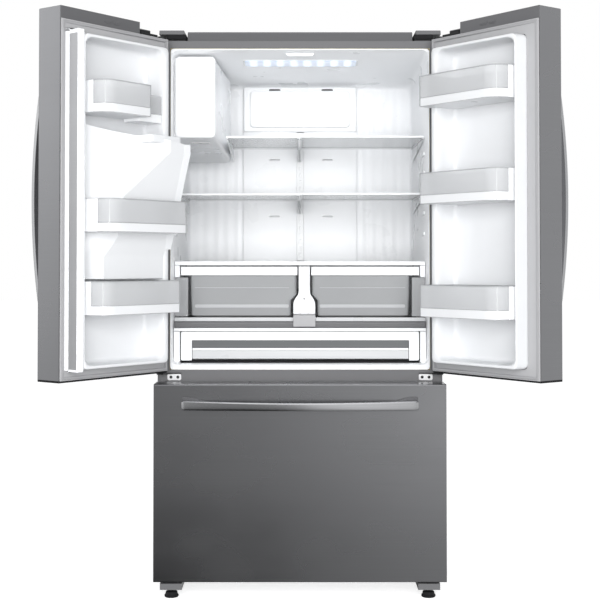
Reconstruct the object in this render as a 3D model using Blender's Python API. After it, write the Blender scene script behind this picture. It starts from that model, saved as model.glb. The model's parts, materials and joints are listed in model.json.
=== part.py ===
"""French door refrigerator with a freezer drawer below, standing with both doors open.

Lengths are metres, +Z is up and the viewer stands at -Y. Every piece is drawn in cabinet
coordinates: the floor is z = 0, the cabinet's front flange is the plane y = 0, x = 0 is the
middle, and the doors are shut. Empties carry the pieces. One sets the cabinet in the part's
frame, and one stands on the axis of each moving group and turns it to where it rests.

A door is drawn in its own coordinates too: s runs from its hinge side to its free side, and
p runs from its inner face into the cabinet, so its outer face lies at p = -DOOR_THICKNESS.
"""
import math
from collections import namedtuple

import bmesh
import bpy
from mathutils import Vector

# Frame and clearances
CABINET_Y = -0.162          # flange plane in the part's frame, which centres the open model
GAP = 0.0003                # between faces that touch
PLAY = 0.002                # between pieces that pass each other

# Cabinet
HALF_WIDTH = 0.454
CASE_DEPTH = 0.743
CASE_BOTTOM = 0.045
CASE_TOP = 1.749
SKIN = 0.003
FRIDGE_HALF = 0.412         # inside of the fridge liner
FRIDGE_FLOOR = 0.712
FRIDGE_SILL = 0.697         # lower edge of the liner's front rim
FRIDGE_BACK = 0.570
CEILING_FRONT = 1.722
CEILING_BACK = 1.686
FREEZER_HALF = 0.405
FREEZER_FLOOR = 0.100
FREEZER_CEILING = 0.628
FREEZER_BACK = 0.590
STEP_BACK = 0.455           # freezer floor ends here, in front of the machine compartment
STEP_TOP = 0.330
MACHINE_FRONT = 0.500
MACHINE_TOP = 0.290
RIM_SETBACK = 0.0035        # liners start this far behind the flange's front

# Feet and casters
FOOT_X = 0.3995
FOOT_Y = -0.082
FOOT_RADIUS = 0.022
STEM_RADIUS = 0.009
BRACKET_BOTTOM = 0.0265
CASTER_X = 0.380
CASTER_Y = 0.680
CASTER_RADIUS = 0.022
CASTER_AXLE = 0.006

# Machine compartment
FAN_CENTRE = (0.615, 0.155)
PAN_RIM = 0.016
COMPRESSOR_CENTRE = (-0.245, 0.622)
CONDENSER_X = (0.060, 0.380)
CONDENSER_Y = (0.530, 0.700)
CONDENSER_HEIGHT = 0.190
COVER_THICKNESS = 0.004

# Top trim and hinges
TRIM_HALF = 0.3625
TRIM_RISE = 0.035
TRIM_Y = (0.022, 0.150)
HINGE_PLATE = 0.006
HINGE_NOSE = 0.0112
HINGE_COVER_X = (0.3655, 0.4530)
HINGE_COVER_Y = (0.004, 0.140)
HINGE_COVER_RISE = 0.037
ARM_Z = (0.6815, 0.6875)
SCREW_PLATE_X = (0.378, 0.423)
SCREW_PLATE_Z = (0.6630, 0.6840)

# Doors
DOOR_WIDTH = 0.452
DOOR_THICKNESS = 0.099
DOOR_BACK_Y = -0.013
DOOR_BOTTOM = 0.6907
DOOR_TOP = 1.7836
DOOR_LINER_TOP = 1.7465
HINGE_INSET = 0.0117        # hinge axis from the door's hinge side
HINGE_P = -0.0229           # hinge axis from the door's inner face
OPEN_ANGLE = math.radians(127.04)
NOTCH_WIDTH = 0.125
NOTCH_P = -0.080            # the hinge notch runs from here to the inner face
DIKE_HEIGHT = 0.056
DIKE_WALL = 0.014
DIKE_START = 0.042
DIKE_END = 0.400
DIKE_LOW = 0.728
DIKE_TOP = 1.706
DIKE_LEAN = 0.024           # how far the raised wall leans back on the hinge side
DIKE_INSIDE = DIKE_START + DIKE_LEAN + DIKE_WALL
RECESS_P = -0.026
LINER_SHEET = 0.004
PIN_RADIUS = 0.006
PIN_PLAY = 0.0012
GASKET_WIDTH = 0.018

# Freezer drawer
DRAWER_BOTTOM = 0.0505
DRAWER_TOP = 0.6614
DRAWER_GASKET_WIDTH = 0.032
SLIDE_X = (0.3820, 0.3940)
SLIDE_Z = (0.392, 0.424)
RAIL_START = 0.3945
BASKET_HALF = 0.376

# Handles, measured from the face that they stand on
HANDLE_RISE_END = 0.012
HANDLE_RISE_MIDDLE = 0.064
HANDLE_THICKNESS = 0.014
HANDLE_HALF_END = 0.015
HANDLE_HALF_MIDDLE = 0.012
HANDLE_FOOT = 0.055
HANDLE_STATIONS = 20
DOOR_HANDLE_LENGTH = 0.758
DOOR_HANDLE_Z = 1.226
DOOR_HANDLE_INSET = 0.043   # from the door's free side to the handle's middle
DRAWER_HANDLE_LENGTH = 0.732
DRAWER_HANDLE_Z = 0.597

# Door bins: left and right ends, then reach, low and high edges of each bin
BIN_START = 0.058
BIN_END = 0.384
BIN_WALL = 0.003
BIN_BACK_P = -0.020
BIN_CORNER = 0.045
BIN_EDGE = 0.004
LEFT_BINS = {"top": (0.184, 0.100, 1.476, 1.572),
             "middle": (BIN_START, 0.130, 1.127, 1.224),
             "bottom": (BIN_START, 0.104, 0.885, 0.984)}
RIGHT_BINS = {"top": (BIN_START, 0.104, 1.518, 1.614),
              "middle": (BIN_START, 0.104, 1.218, 1.314),
              "bottom": (BIN_START, 0.104, 0.872, 0.970)}

# Folding mullion on the left door, drawn folded
MULLION_S = (0.407, 0.435)
MULLION_P = (0.0135, 0.0515)
MULLION_Z = (0.723, 1.714)
MULLION_AXIS = (-0.01885, 0.00065)

# Dispenser in the left door
WINDOW_S = (0.120, 0.330)
WINDOW_Z = (1.040, 1.380)
WELL_BACK_P = -0.036
BEZEL_S = (0.108, 0.342)
BEZEL_Z = (1.028, 1.470)
PADDLE_S = (0.203, 0.247)
PADDLE_P = (-0.064, -0.058)
PADDLE_Z = (1.180, 1.300)

# Ice chute housing inside the left door
CHUTE_TOP = 1.398
CHUTE_SHOULDER = 1.370
CHUTE_FOOT = 1.054
CHUTE_BOTTOM = 0.990
CHUTE_END = 0.3855          # free side of the housing
CHUTE_COLUMNS = 6
CHUTE_CLEARANCE = 0.006
COLLAR_HEIGHT = 0.014
BACK_STEPS = 8

# Inside the fridge
DUCT_HALF = 0.205
DUCT_FRONT = 0.538
DUCT_TOP = 1.676
OUTLET_HEIGHTS = (1.410, 1.205)
OUTLET_CENTRES = (-0.092, 0.099)
SHELF_BACK = 0.528
SHELF_THICKNESS = 0.006
UPPER_SHELF_Z = 1.4560
LOWER_SHELF_Z = 1.2680
CRISPER_FRONT = 0.088
CRISPER_BACK = 0.515
CRISPER_HALF = 0.360        # clears the door bins while the doors stand open
CRISPER_Z = (0.862, 1.020)
COVER_Z = (1.0290, 1.0430)
DECK_Z = (0.8270, 0.8520)
POST_X = 0.014
POST_NECK = 0.0205
POST_FOOT = 0.036
PANTRY_HALF = 0.385
PANTRY_FRONT = 0.050
PANTRY_BACK = 0.500
PANTRY_Z = (0.722, 0.815)
ICE_CASE_LEFT = -0.411
ICE_CASE_Y = (0.071, 0.420)
ICE_X = (-0.4060, -0.2745)
ICE_FRONT = 0.052
ICE_Z = (1.443, 1.708)

Group = namedtuple("Group", "empty pivot")


# ---------------------------------------------------------------- outlines and meshes

def rectangle(low_u, high_u, low_v, high_v):
    """Outline of a rectangle."""
    return [(low_u, low_v), (high_u, low_v), (high_u, high_v), (low_u, high_v)]


def arc(centre, radius, start_degrees, end_degrees, steps):
    """Points along an arc, both ends included."""
    points = []
    for step in range(steps + 1):
        angle = math.radians(start_degrees + (end_degrees - start_degrees) * step / steps)
        points.append((centre[0] + radius * math.cos(angle), centre[1] + radius * math.sin(angle)))
    return points


def rounded(low_u, high_u, low_v, high_v, radius, steps=4):
    """Outline of a rectangle with round corners."""
    return (arc((low_u + radius, low_v + radius), radius, 180, 270, steps)
            + arc((high_u - radius, low_v + radius), radius, 270, 360, steps)
            + arc((high_u - radius, high_v - radius), radius, 0, 90, steps)
            + arc((low_u + radius, high_v - radius), radius, 90, 180, steps))


def inset(outline, distance):
    """The outline moved inwards by a distance, with mitred corners."""
    count = len(outline)
    doubled_area = sum(outline[i][0] * outline[(i + 1) % count][1]
                       - outline[(i + 1) % count][0] * outline[i][1] for i in range(count))
    turn = 1 if doubled_area > 0 else -1
    moved = []
    for index, point in enumerate(outline):
        before = (Vector(point) - Vector(outline[index - 1])).normalized()
        after = (Vector(outline[(index + 1) % count]) - Vector(point)).normalized()
        normal_before = Vector((-before.y, before.x)) * turn
        normal_after = Vector((-after.y, after.x)) * turn
        mitre = (normal_before + normal_after) / (1 + normal_before.dot(normal_after))
        moved.append(tuple(Vector(point) + mitre * distance))
    return moved


def ring(outline, axis, at):
    """The outline as 3D points, square to an axis: X takes (y, z), Y takes (x, z), Z takes (x, y)."""
    if axis == "X":
        return [(at, u, v) for u, v in outline]
    if axis == "Y":
        return [(u, at, v) for u, v in outline]
    return [(u, v, at) for u, v in outline]


def skinned(name, rings, looped=False):
    """Closed mesh through rings of as many points each, capped at its ends or joined in a loop."""
    shape = bmesh.new()
    loops = [[shape.verts.new(point) for point in points] for points in rings]
    pairs = list(zip(loops, loops[1:]))
    if looped:
        pairs.append((loops[-1], loops[0]))
    for lower, upper in pairs:
        for index in range(len(lower)):
            following = (index + 1) % len(lower)
            shape.faces.new((lower[index], lower[following], upper[following], upper[index]))
    if not looped:
        shape.faces.new(loops[0])
        shape.faces.new(loops[-1])
    bmesh.ops.recalc_face_normals(shape, faces=shape.faces)
    mesh = bpy.data.meshes.new(name)
    shape.to_mesh(mesh)
    shape.free()
    return mesh


def prism(outline, axis, start, end):
    """Solid of one outline between two planes."""
    return skinned("prism", [ring(outline, axis, start), ring(outline, axis, end)])


def block(x, y, z):
    """Box between pairs of limits."""
    return prism(rectangle(*x, *y), "Z", *z)


def tray(outline, axis, floor, rim, wall):
    """Open box of an outline: its floor is at one place on the axis and its open rim at another."""
    inner = inset(outline, wall)
    inside_floor = floor + math.copysign(wall, rim - floor)
    return skinned("tray", [ring(outline, axis, floor), ring(outline, axis, rim),
                            ring(inner, axis, rim), ring(inner, axis, inside_floor)])


def frame(outline, axis, start, end, width):
    """Flat closed frame that follows an outline."""
    inner = inset(outline, width)
    return skinned("frame", [ring(outline, axis, start), ring(outline, axis, end),
                             ring(inner, axis, end), ring(inner, axis, start)], looped=True)


def turned(profile, axis, centre, segments):
    """Solid of revolution about an axis: the profile lists (distance along the axis, radius)."""
    rings = []
    for along, radius in profile:
        circle = []
        for index in range(segments):
            angle = math.tau * index / segments
            across = (centre[0] + radius * math.cos(angle), centre[1] + radius * math.sin(angle))
            circle.append(across)
        rings.append(ring(circle, axis, along))
    return skinned("turned", rings)


def in_door(side, outline):
    """Door outline (s, p) as cabinet outline (x, y). The left door is side -1, the right door 1."""
    return [(side * (HALF_WIDTH - s), DOOR_BACK_Y + p) for s, p in outline]


def door_block(side, s, p, z):
    """Box between pairs of limits in a door's coordinates."""
    return prism(in_door(side, rectangle(*s, *p)), "Z", *z)


def door_face_outline(side, s, z):
    """Rectangle on a door's face, as (x, z)."""
    low, high = sorted(side * (HALF_WIDTH - value) for value in s)
    return rectangle(low, high, *z)


# ---------------------------------------------------------------- objects

def make_material(name, colour, roughness, metallic=0.0, alpha=1.0):
    """Principled material of one colour."""
    material = bpy.data.materials.new(name)
    material.use_nodes = True
    shader = material.node_tree.nodes["Principled BSDF"]
    shader.inputs["Base Color"].default_value = (*colour, 1.0)
    shader.inputs["Roughness"].default_value = roughness
    shader.inputs["Metallic"].default_value = metallic
    shader.inputs["Alpha"].default_value = alpha
    return material


def make_group(name, pivot, parent=None, turn=0.0):
    """Empty at a pivot in cabinet coordinates, turned about its upright axis."""
    empty = bpy.data.objects.new(name, None)
    bpy.context.scene.collection.objects.link(empty)
    pivot = Vector(pivot)
    empty.location = pivot
    if parent:
        empty.parent = parent.empty
        empty.location = pivot - parent.pivot
    empty.rotation_euler.z = turn
    return Group(empty, pivot)


def make_piece(name, mesh, material, group, smooth=False):
    """Object that shows a mesh drawn in cabinet coordinates, carried by a group."""
    mesh.name = name
    mesh.materials.append(material)
    piece = bpy.data.objects.new(name, mesh)
    bpy.context.scene.collection.objects.link(piece)
    piece.parent = group.empty
    piece.location = -group.pivot
    if smooth:
        mesh.shade_smooth()
        mesh.set_sharp_from_angle(angle=math.radians(35))
    return piece


def combine(piece, operation, meshes):
    """Boolean of hidden meshes, in the same coordinates as the piece: UNION or DIFFERENCE."""
    for mesh in meshes:
        tool = bpy.data.objects.new(f"{piece.name}_{operation.lower()}", mesh)
        bpy.context.scene.collection.objects.link(tool)
        tool.parent = piece.parent
        tool.location = piece.location
        tool.hide_render = True
        tool.display_type = "WIRE"
        modifier = piece.modifiers.new(tool.name, "BOOLEAN")
        modifier.operation = operation
        modifier.solver = "EXACT"
        modifier.object = tool


# ---------------------------------------------------------------- cabinet

def ceiling_at(depth):
    """Height of the fridge ceiling at a depth behind the flange."""
    return CEILING_FRONT + (CEILING_BACK - CEILING_FRONT) * depth / FRIDGE_BACK


def fridge_profile(start):
    """Side view (y, z) of the space inside the fridge liner, from a given front plane."""
    return [(start, FRIDGE_FLOOR), (FRIDGE_BACK, FRIDGE_FLOOR),
            (FRIDGE_BACK, CEILING_BACK), (start, ceiling_at(start))]


def freezer_profile(start):
    """Side view (y, z) of the space inside the freezer liner, stepped over the machinery."""
    return [(start, FREEZER_FLOOR), (STEP_BACK, FREEZER_FLOOR), (STEP_BACK, STEP_TOP),
            (FREEZER_BACK, STEP_TOP), (FREEZER_BACK, FREEZER_CEILING), (start, FREEZER_CEILING)]


def build_cabinet_shell(steel, cabinet):
    """Folded steel case with the fridge, freezer and machinery openings, foot and caster brackets."""
    shell = make_piece("cabinet_shell", block((-HALF_WIDTH, HALF_WIDTH), (0, CASE_DEPTH),
                                              (CASE_BOTTOM, CASE_TOP)), steel, cabinet)
    inner = HALF_WIDTH - SKIN
    hollow = block((-inner, inner), (SKIN, CASE_DEPTH - SKIN), (CASE_BOTTOM + SKIN, CASE_TOP - SKIN))
    fridge_hole = block((-FRIDGE_HALF - SKIN - GAP, FRIDGE_HALF + SKIN + GAP), (-0.01, 0.01),
                        (FRIDGE_SILL - GAP, CEILING_FRONT + SKIN + GAP))
    freezer_hole = block((-FREEZER_HALF - SKIN - GAP, FREEZER_HALF + SKIN + GAP), (-0.01, 0.01),
                         (FREEZER_FLOOR - SKIN - GAP, FREEZER_CEILING + SKIN + GAP))
    machine_hole = block((-0.430, 0.430), (CASE_DEPTH - 0.01, CASE_DEPTH + 0.01),
                         (CASE_BOTTOM + 0.010, MACHINE_TOP - 0.010))
    combine(shell, "DIFFERENCE", [hollow, fridge_hole, freezer_hole, machine_hole])
    brackets = []
    for side in (-1, 1):
        centre = side * FOOT_X
        low, high = sorted((centre - 0.034, centre + 0.034))
        brackets.append(block((low, high), (FOOT_Y - 0.026, 0.060), (BRACKET_BOTTOM, CASE_BOTTOM + 0.0005)))
        for cheek in (-0.019, 0.016):
            start = side * CASTER_X + cheek
            brackets.append(block((start, start + 0.003), (CASTER_Y - 0.018, CASTER_Y + 0.018),
                                  (0.010, CASE_BOTTOM + 0.0005)))
    combine(shell, "UNION", brackets)


def build_foam(foam, cabinet):
    """Insulation between the case and the liners, notched for the machinery."""
    inner = HALF_WIDTH - SKIN - GAP
    piece = make_piece("cabinet_foam", block((-inner, inner), (SKIN + GAP, CASE_DEPTH - SKIN - GAP),
                                             (CASE_BOTTOM + SKIN + GAP, CASE_TOP - SKIN - GAP)),
                       foam, cabinet)
    half = FRIDGE_HALF + SKIN + GAP
    fridge = inset([(-0.02, FRIDGE_SILL + SKIN), (FRIDGE_BACK, FRIDGE_SILL + SKIN),
                    (FRIDGE_BACK, CEILING_BACK), (-0.02, ceiling_at(-0.02))], -(SKIN + GAP))
    freezer_half = FREEZER_HALF + SKIN + GAP
    freezer = inset(freezer_profile(-0.02), -(SKIN + GAP))
    machine = block((-0.5, 0.5), (MACHINE_FRONT, CASE_DEPTH), (0.0, MACHINE_TOP))
    combine(piece, "DIFFERENCE", [prism(fridge, "X", -half, half),
                                  prism(freezer, "X", -freezer_half, freezer_half), machine])


def build_liners(white, cabinet):
    """Moulded inner boxes of the fridge and of the freezer, open at the front."""
    fridge_outer = inset([(RIM_SETBACK, FRIDGE_SILL + SKIN), (FRIDGE_BACK, FRIDGE_SILL + SKIN),
                          (FRIDGE_BACK, CEILING_BACK), (RIM_SETBACK, ceiling_at(RIM_SETBACK))], -SKIN)
    half = FRIDGE_HALF + SKIN
    fridge = make_piece("fridge_liner", prism(fridge_outer, "X", -half, half), white, cabinet)
    combine(fridge, "DIFFERENCE", [prism(fridge_profile(-0.02), "X", -FRIDGE_HALF, FRIDGE_HALF)])
    half = FREEZER_HALF + SKIN
    freezer_outer = inset(freezer_profile(RIM_SETBACK), -SKIN)
    freezer = make_piece("freezer_liner", prism(freezer_outer, "X", -half, half), white, cabinet)
    combine(freezer, "DIFFERENCE",
            [prism(freezer_profile(-0.02), "X", -FREEZER_HALF, FREEZER_HALF)])


def build_feet_and_casters(black, cabinet, casters):
    """Levelling feet at the front, and wheels at the back that turn between the case's cheeks."""
    for side, word in ((-1, "left"), (1, "right")):
        foot_profile = [(0, FOOT_RADIUS - 0.002), (0.002, FOOT_RADIUS), (0.018, FOOT_RADIUS),
                        (0.0205, FOOT_RADIUS - 0.003), (0.0215, STEM_RADIUS),
                        (BRACKET_BOTTOM - GAP, STEM_RADIUS)]
        foot = turned(foot_profile, "Z", (side * FOOT_X, FOOT_Y), 24)
        make_piece(f"front_foot_{word}", foot, black, cabinet, smooth=True)
        centre = side * CASTER_X
        wheel_profile = [(centre - 0.0150, CASTER_AXLE), (centre - 0.0125, CASTER_AXLE),
                         (centre - 0.0125, CASTER_RADIUS - 0.001), (centre - 0.0115, CASTER_RADIUS),
                         (centre + 0.0115, CASTER_RADIUS), (centre + 0.0125, CASTER_RADIUS - 0.001),
                         (centre + 0.0125, CASTER_AXLE), (centre + 0.0150, CASTER_AXLE)]
        wheel = turned(wheel_profile, "X", (CASTER_Y, CASTER_RADIUS), 32)
        make_piece(f"rear_caster_{word}", wheel, black, casters[side], smooth=True)


def build_machinery(black, steel, aluminium, cabinet, fan_group):
    """Compressor, condenser, its fan and the tray under them, behind the freezer's step."""
    floor = CASE_BOTTOM + SKIN + GAP
    pan = tray(rectangle(-0.440, 0.440, 0.510, 0.732), "Z", floor, floor + PAN_RIM, 0.0025)
    make_piece("drain_pan", pan, black, cabinet)
    low = floor + 0.0025 + GAP
    can = [(low, 0.070), (low + 0.012, 0.086), (low + 0.070, 0.090), (low + 0.120, 0.088),
           (low + 0.160, 0.072), (low + 0.178, 0.045), (low + 0.182, 0.016)]
    compressor = turned(can, "Z", COMPRESSOR_CENTRE, 28)
    make_piece("compressor", compressor, black, cabinet, smooth=True)
    condenser = block(CONDENSER_X, CONDENSER_Y, (low, low + CONDENSER_HEIGHT))
    make_piece("condenser", condenser, aluminium, cabinet)
    blades = fan_mesh(5, 0.020, 0.072, 0.018, "X", FAN_CENTRE, -0.060)
    make_piece("condenser_fan", blades, black, fan_group)
    sheet = block((-0.445, 0.445), (CASE_DEPTH + GAP, CASE_DEPTH + COVER_THICKNESS),
                  (CASE_BOTTOM + SKIN, MACHINE_TOP))
    cover = make_piece("machine_cover", sheet, steel, cabinet)
    slots = []
    for column in range(14):
        left = -0.400 + column * 0.058
        for low_edge in (0.095, 0.205):
            slots.append(block((left, left + 0.046), (CASE_DEPTH - 0.02, CASE_DEPTH + 0.02),
                               (low_edge, low_edge + 0.010)))
    combine(cover, "DIFFERENCE", slots)


def fan_mesh(count, hub, tip, depth, axis, centre, at):
    """Fan of one piece: blades as wide as the gaps between them, twisted along the axis."""
    steps = 6
    rings = []
    for level in range(3):
        twist = 0.30 * level / 2
        points = []
        for index in range(count):
            for step in range(steps):
                share = step / steps
                radius = tip if 0.05 < share < 0.60 else hub
                angle = math.tau * (index + share) / count + twist
                points.append((centre[0] + radius * math.cos(angle),
                               centre[1] + radius * math.sin(angle)))
        rings.append(ring(points, axis, at + depth * level / 2))
    return skinned("fan", rings)


def build_top(dark, black, cabinet):
    """Trim along the top of the case, and a hinge with its cover at each corner."""
    front, back = TRIM_Y
    top = CASE_TOP + TRIM_RISE
    table = prism([(front, CASE_TOP + GAP), (back, CASE_TOP + GAP), (back, top - 0.005),
                   (back - 0.006, top), (front + 0.008, top), (front, top - 0.007)],
                  "X", -TRIM_HALF, TRIM_HALF)
    make_piece("top_table", table, dark, cabinet)
    pin_x = HALF_WIDTH - HINGE_INSET
    pin_y = DOOR_BACK_Y + HINGE_P
    plate_low = CASE_TOP + GAP
    plate_high = plate_low + HINGE_PLATE
    for side, word in ((-1, "left"), (1, "right")):
        nose = arc((pin_x, pin_y), HINGE_NOSE, 180, 360, 8)
        outline = [(side * x, y) for x, y in nose + [(0.4535, 0.138), (0.367, 0.138),
                                                     (0.367, 0.010), (0.425, 0.010)]]
        hinge = make_piece(f"top_hinge_{word}", prism(outline, "Z", plate_low, plate_high),
                           black, cabinet)
        pin = turned([(DOOR_LINER_TOP - 0.012, PIN_RADIUS), (plate_low + 0.002, PIN_RADIUS)], "Z",
                     (side * pin_x, pin_y), 20)
        combine(hinge, "UNION", [pin])
        low, high = sorted(side * x for x in HINGE_COVER_X)
        cover = block((low, high), HINGE_COVER_Y, (plate_high + GAP, CASE_TOP + HINGE_COVER_RISE))
        make_piece(f"hinge_cover_{word}", cover, dark, cabinet)


def build_mid_hinges(nickel, cabinet):
    """Hinges on the band between the compartments, whose pins stand up into the doors."""
    pin_x = HALF_WIDTH - HINGE_INSET
    pin_y = DOOR_BACK_Y + HINGE_P
    arm_low, arm_high = ARM_Z
    plate_start, plate_end = SCREW_PLATE_X
    for side, word in ((-1, "left"), (1, "right")):
        nose = arc((pin_x, pin_y), HINGE_NOSE, 180, 360, 8)
        outline = [(side * x, y) for x, y in nose + [(0.4535, -GAP), (plate_start, -GAP),
                                                     (plate_start, -0.006), (0.405, -0.012)]]
        hinge = make_piece(f"mid_hinge_{word}", prism(outline, "Z", arm_low, arm_high),
                           nickel, cabinet)
        low, high = sorted((side * plate_start, side * plate_end))
        plate = prism(rounded(low, high, *SCREW_PLATE_Z, 0.008), "Y", -0.0040, -GAP)
        pin = turned([(arm_low + 0.002, PIN_RADIUS), (DOOR_BOTTOM + 0.012, PIN_RADIUS)], "Z",
                     (side * pin_x, pin_y), 20)
        combine(hinge, "UNION", [plate, pin])


# ---------------------------------------------------------------- inside the fridge

def build_duct_cover(white, cabinet):
    """Air duct cover up the middle of the back wall, with its raised plate and air slots."""
    back = FRIDGE_BACK - GAP
    outline = rectangle(-DUCT_HALF, DUCT_HALF, FRIDGE_FLOOR + GAP, DUCT_TOP)
    cover = make_piece("duct_cover", tray(outline, "Y", DUCT_FRONT, back, SKIN), white, cabinet)
    plate = prism(rounded(-0.182, 0.182, 1.528, 1.662, 0.018), "Y", DUCT_FRONT - 0.008,
                  DUCT_FRONT + 0.001)
    combine(cover, "UNION", [plate])
    slots = []
    for height in OUTLET_HEIGHTS:
        for centre in OUTLET_CENTRES:
            slots.append(block((centre - 0.018, centre + 0.018),
                               (DUCT_FRONT - 0.02, DUCT_FRONT + 0.02),
                               (height - 0.003, height + 0.003)))
    combine(cover, "DIFFERENCE", slots)


def build_ice_maker(white, cabinet, ice_group):
    """Ice maker case under the ceiling on the left, and the bucket that slides out of it."""
    front, back = ICE_CASE_Y
    ring_front = rectangle(ICE_CASE_LEFT, -0.276, 1.4440, 1.7060)
    ring_back = rectangle(ICE_CASE_LEFT, -0.246, 1.3900, 1.6880)
    case = make_piece("ice_maker_case", skinned("case", [ring(ring_front, "Y", front),
                                                         ring(ring_back, "Y", back)]),
                      white, cabinet)
    mouth = rectangle(-0.4000, -0.2815, 1.4500, 1.6950)
    combine(case, "DIFFERENCE", [prism(mouth, "Y", front - 0.01, back - 0.020)])
    bucket = make_piece("ice_bucket", tray(rectangle(-0.3920, -0.2850, 0.066, 0.390), "Z",
                                           1.4520, 1.6000, SKIN), white, ice_group)
    plate = prism(rounded(*ICE_X, *ICE_Z, 0.018), "Y", ICE_FRONT, ICE_FRONT + 0.016)
    combine(bucket, "UNION", [plate])


def shelf_mesh(low_x, high_x, front, height):
    """Glass shelf with a rolled front trim."""
    under = height - SHELF_THICKNESS
    profile = [(front, under - 0.006), (front + 0.010, under - 0.006), (front + 0.010, under),
               (SHELF_BACK, under), (SHELF_BACK, height), (front, height)]
    return prism(profile, "X", low_x, high_x)


def build_shelves(glass, cabinet):
    """Four half-width shelves, each on a bracket against the wall or the centre track."""
    shelves = {
        "shelf_upper_left": (-0.2430, -0.0040, 0.120, UPPER_SHELF_Z, -0.0070),
        "shelf_upper_right": (0.0000, 0.4090, 0.110, UPPER_SHELF_Z, 0.4060),
        "shelf_lower_left": (-0.4050, -0.0040, 0.150, LOWER_SHELF_Z, -0.0070),
        "shelf_lower_right": (0.0000, 0.4090, 0.110, LOWER_SHELF_Z, 0.4060),
    }
    for name, (low_x, high_x, front, height, bracket_x) in shelves.items():
        shelf = make_piece(name, shelf_mesh(low_x, high_x, front, height), glass, cabinet)
        under = height - SHELF_THICKNESS + 0.001
        bracket = prism([(front + 0.08, under), (SHELF_BACK, under), (SHELF_BACK, under - 0.042)],
                        "X", bracket_x, bracket_x + 0.0025)
        combine(shelf, "UNION", [bracket])


def crisper_outline(side):
    """Front view (x, z) of a crisper body: it steps in beside the foot of the centre post."""
    inner_high = POST_X + side * 0.0245
    inner_low = POST_X + side * 0.0430
    outer = side * CRISPER_HALF
    low, high = CRISPER_Z
    return [(outer, low), (inner_low, low), (inner_low, low + 0.053), (inner_high, low + 0.073),
            (inner_high, high), (outer, high)]


def build_crispers(clear, white, cabinet, groups):
    """Cover shelf, its side rails, the centre post and the two crisper drawers."""
    cover = make_piece("crisper_cover", block((-0.4095, 0.4095), (0.085, SHELF_BACK), COVER_Z),
                       white, cabinet)
    rails = []
    for side in (-1, 1):
        low, high = sorted((side * 0.3920, side * 0.4095))
        rails.append(block((low, high), (0.0885, SHELF_BACK), (0.990, COVER_Z[0] + 0.001)))
    combine(cover, "UNION", rails)
    post_top = rounded(POST_X - POST_NECK, POST_X + POST_NECK, 0.900, COVER_Z[0] - 0.0005, 0.004, 2)
    post = make_piece("centre_post", prism(post_top, "Y", 0.0900, 0.500), white, cabinet)
    foot = prism(rounded(POST_X - POST_FOOT, POST_X + POST_FOOT, DECK_Z[1] + 0.001, 0.9220, 0.012, 3),
                 "Y", 0.0880, 0.500)
    combine(post, "UNION", [foot])
    for side, word in ((-1, "left"), (1, "right")):
        solid = prism(crisper_outline(side), "Y", CRISPER_FRONT + 0.012, CRISPER_BACK)
        body = make_piece(f"crisper_{word}", solid, clear, groups[side])
        inner = inset(crisper_outline(side), 0.003)
        inner = [(x, z + 0.05 if z > 1.0 else z) for x, z in inner]
        combine(body, "DIFFERENCE", [prism(inner, "Y", CRISPER_FRONT + 0.015, CRISPER_BACK - 0.003)])
        low, high = sorted((side * 0.3890, POST_X + side * 0.0225))
        strip = block((low, high), (CRISPER_FRONT, CRISPER_FRONT + 0.0125), (0.996, 1.0250))
        combine(body, "UNION", [strip])


def build_pantry(clear, dark, cabinet, pantry_group):
    """Full-width drawer under the crispers, and the deck between them."""
    low, high = DECK_Z
    deck = prism([(0.060, low), (SHELF_BACK, low), (SHELF_BACK, high), (0.066, high),
                  (0.060, high - 0.006)], "X", -0.4090, 0.4090)
    make_piece("pantry_deck", deck, dark, cabinet)
    body = tray(rectangle(-PANTRY_HALF + 0.005, PANTRY_HALF - 0.005, PANTRY_FRONT + 0.010,
                          PANTRY_BACK), "Z", PANTRY_Z[0] + 0.002, PANTRY_Z[1] - 0.005, SKIN)
    drawer = make_piece("pantry_drawer", body, clear, pantry_group)
    front = prism(rounded(-PANTRY_HALF, PANTRY_HALF, *PANTRY_Z, 0.006, 2), "Y",
                  PANTRY_FRONT, PANTRY_FRONT + 0.0110)
    combine(drawer, "UNION", [front])


def build_fridge_fan(white, group):
    """Evaporator fan in the duct."""
    blades = fan_mesh(7, 0.018, 0.050, 0.014, "Y", (0.0, 1.595), 0.545)
    make_piece("fridge_fan", blades, white, group)


# ---------------------------------------------------------------- freezer

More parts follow.
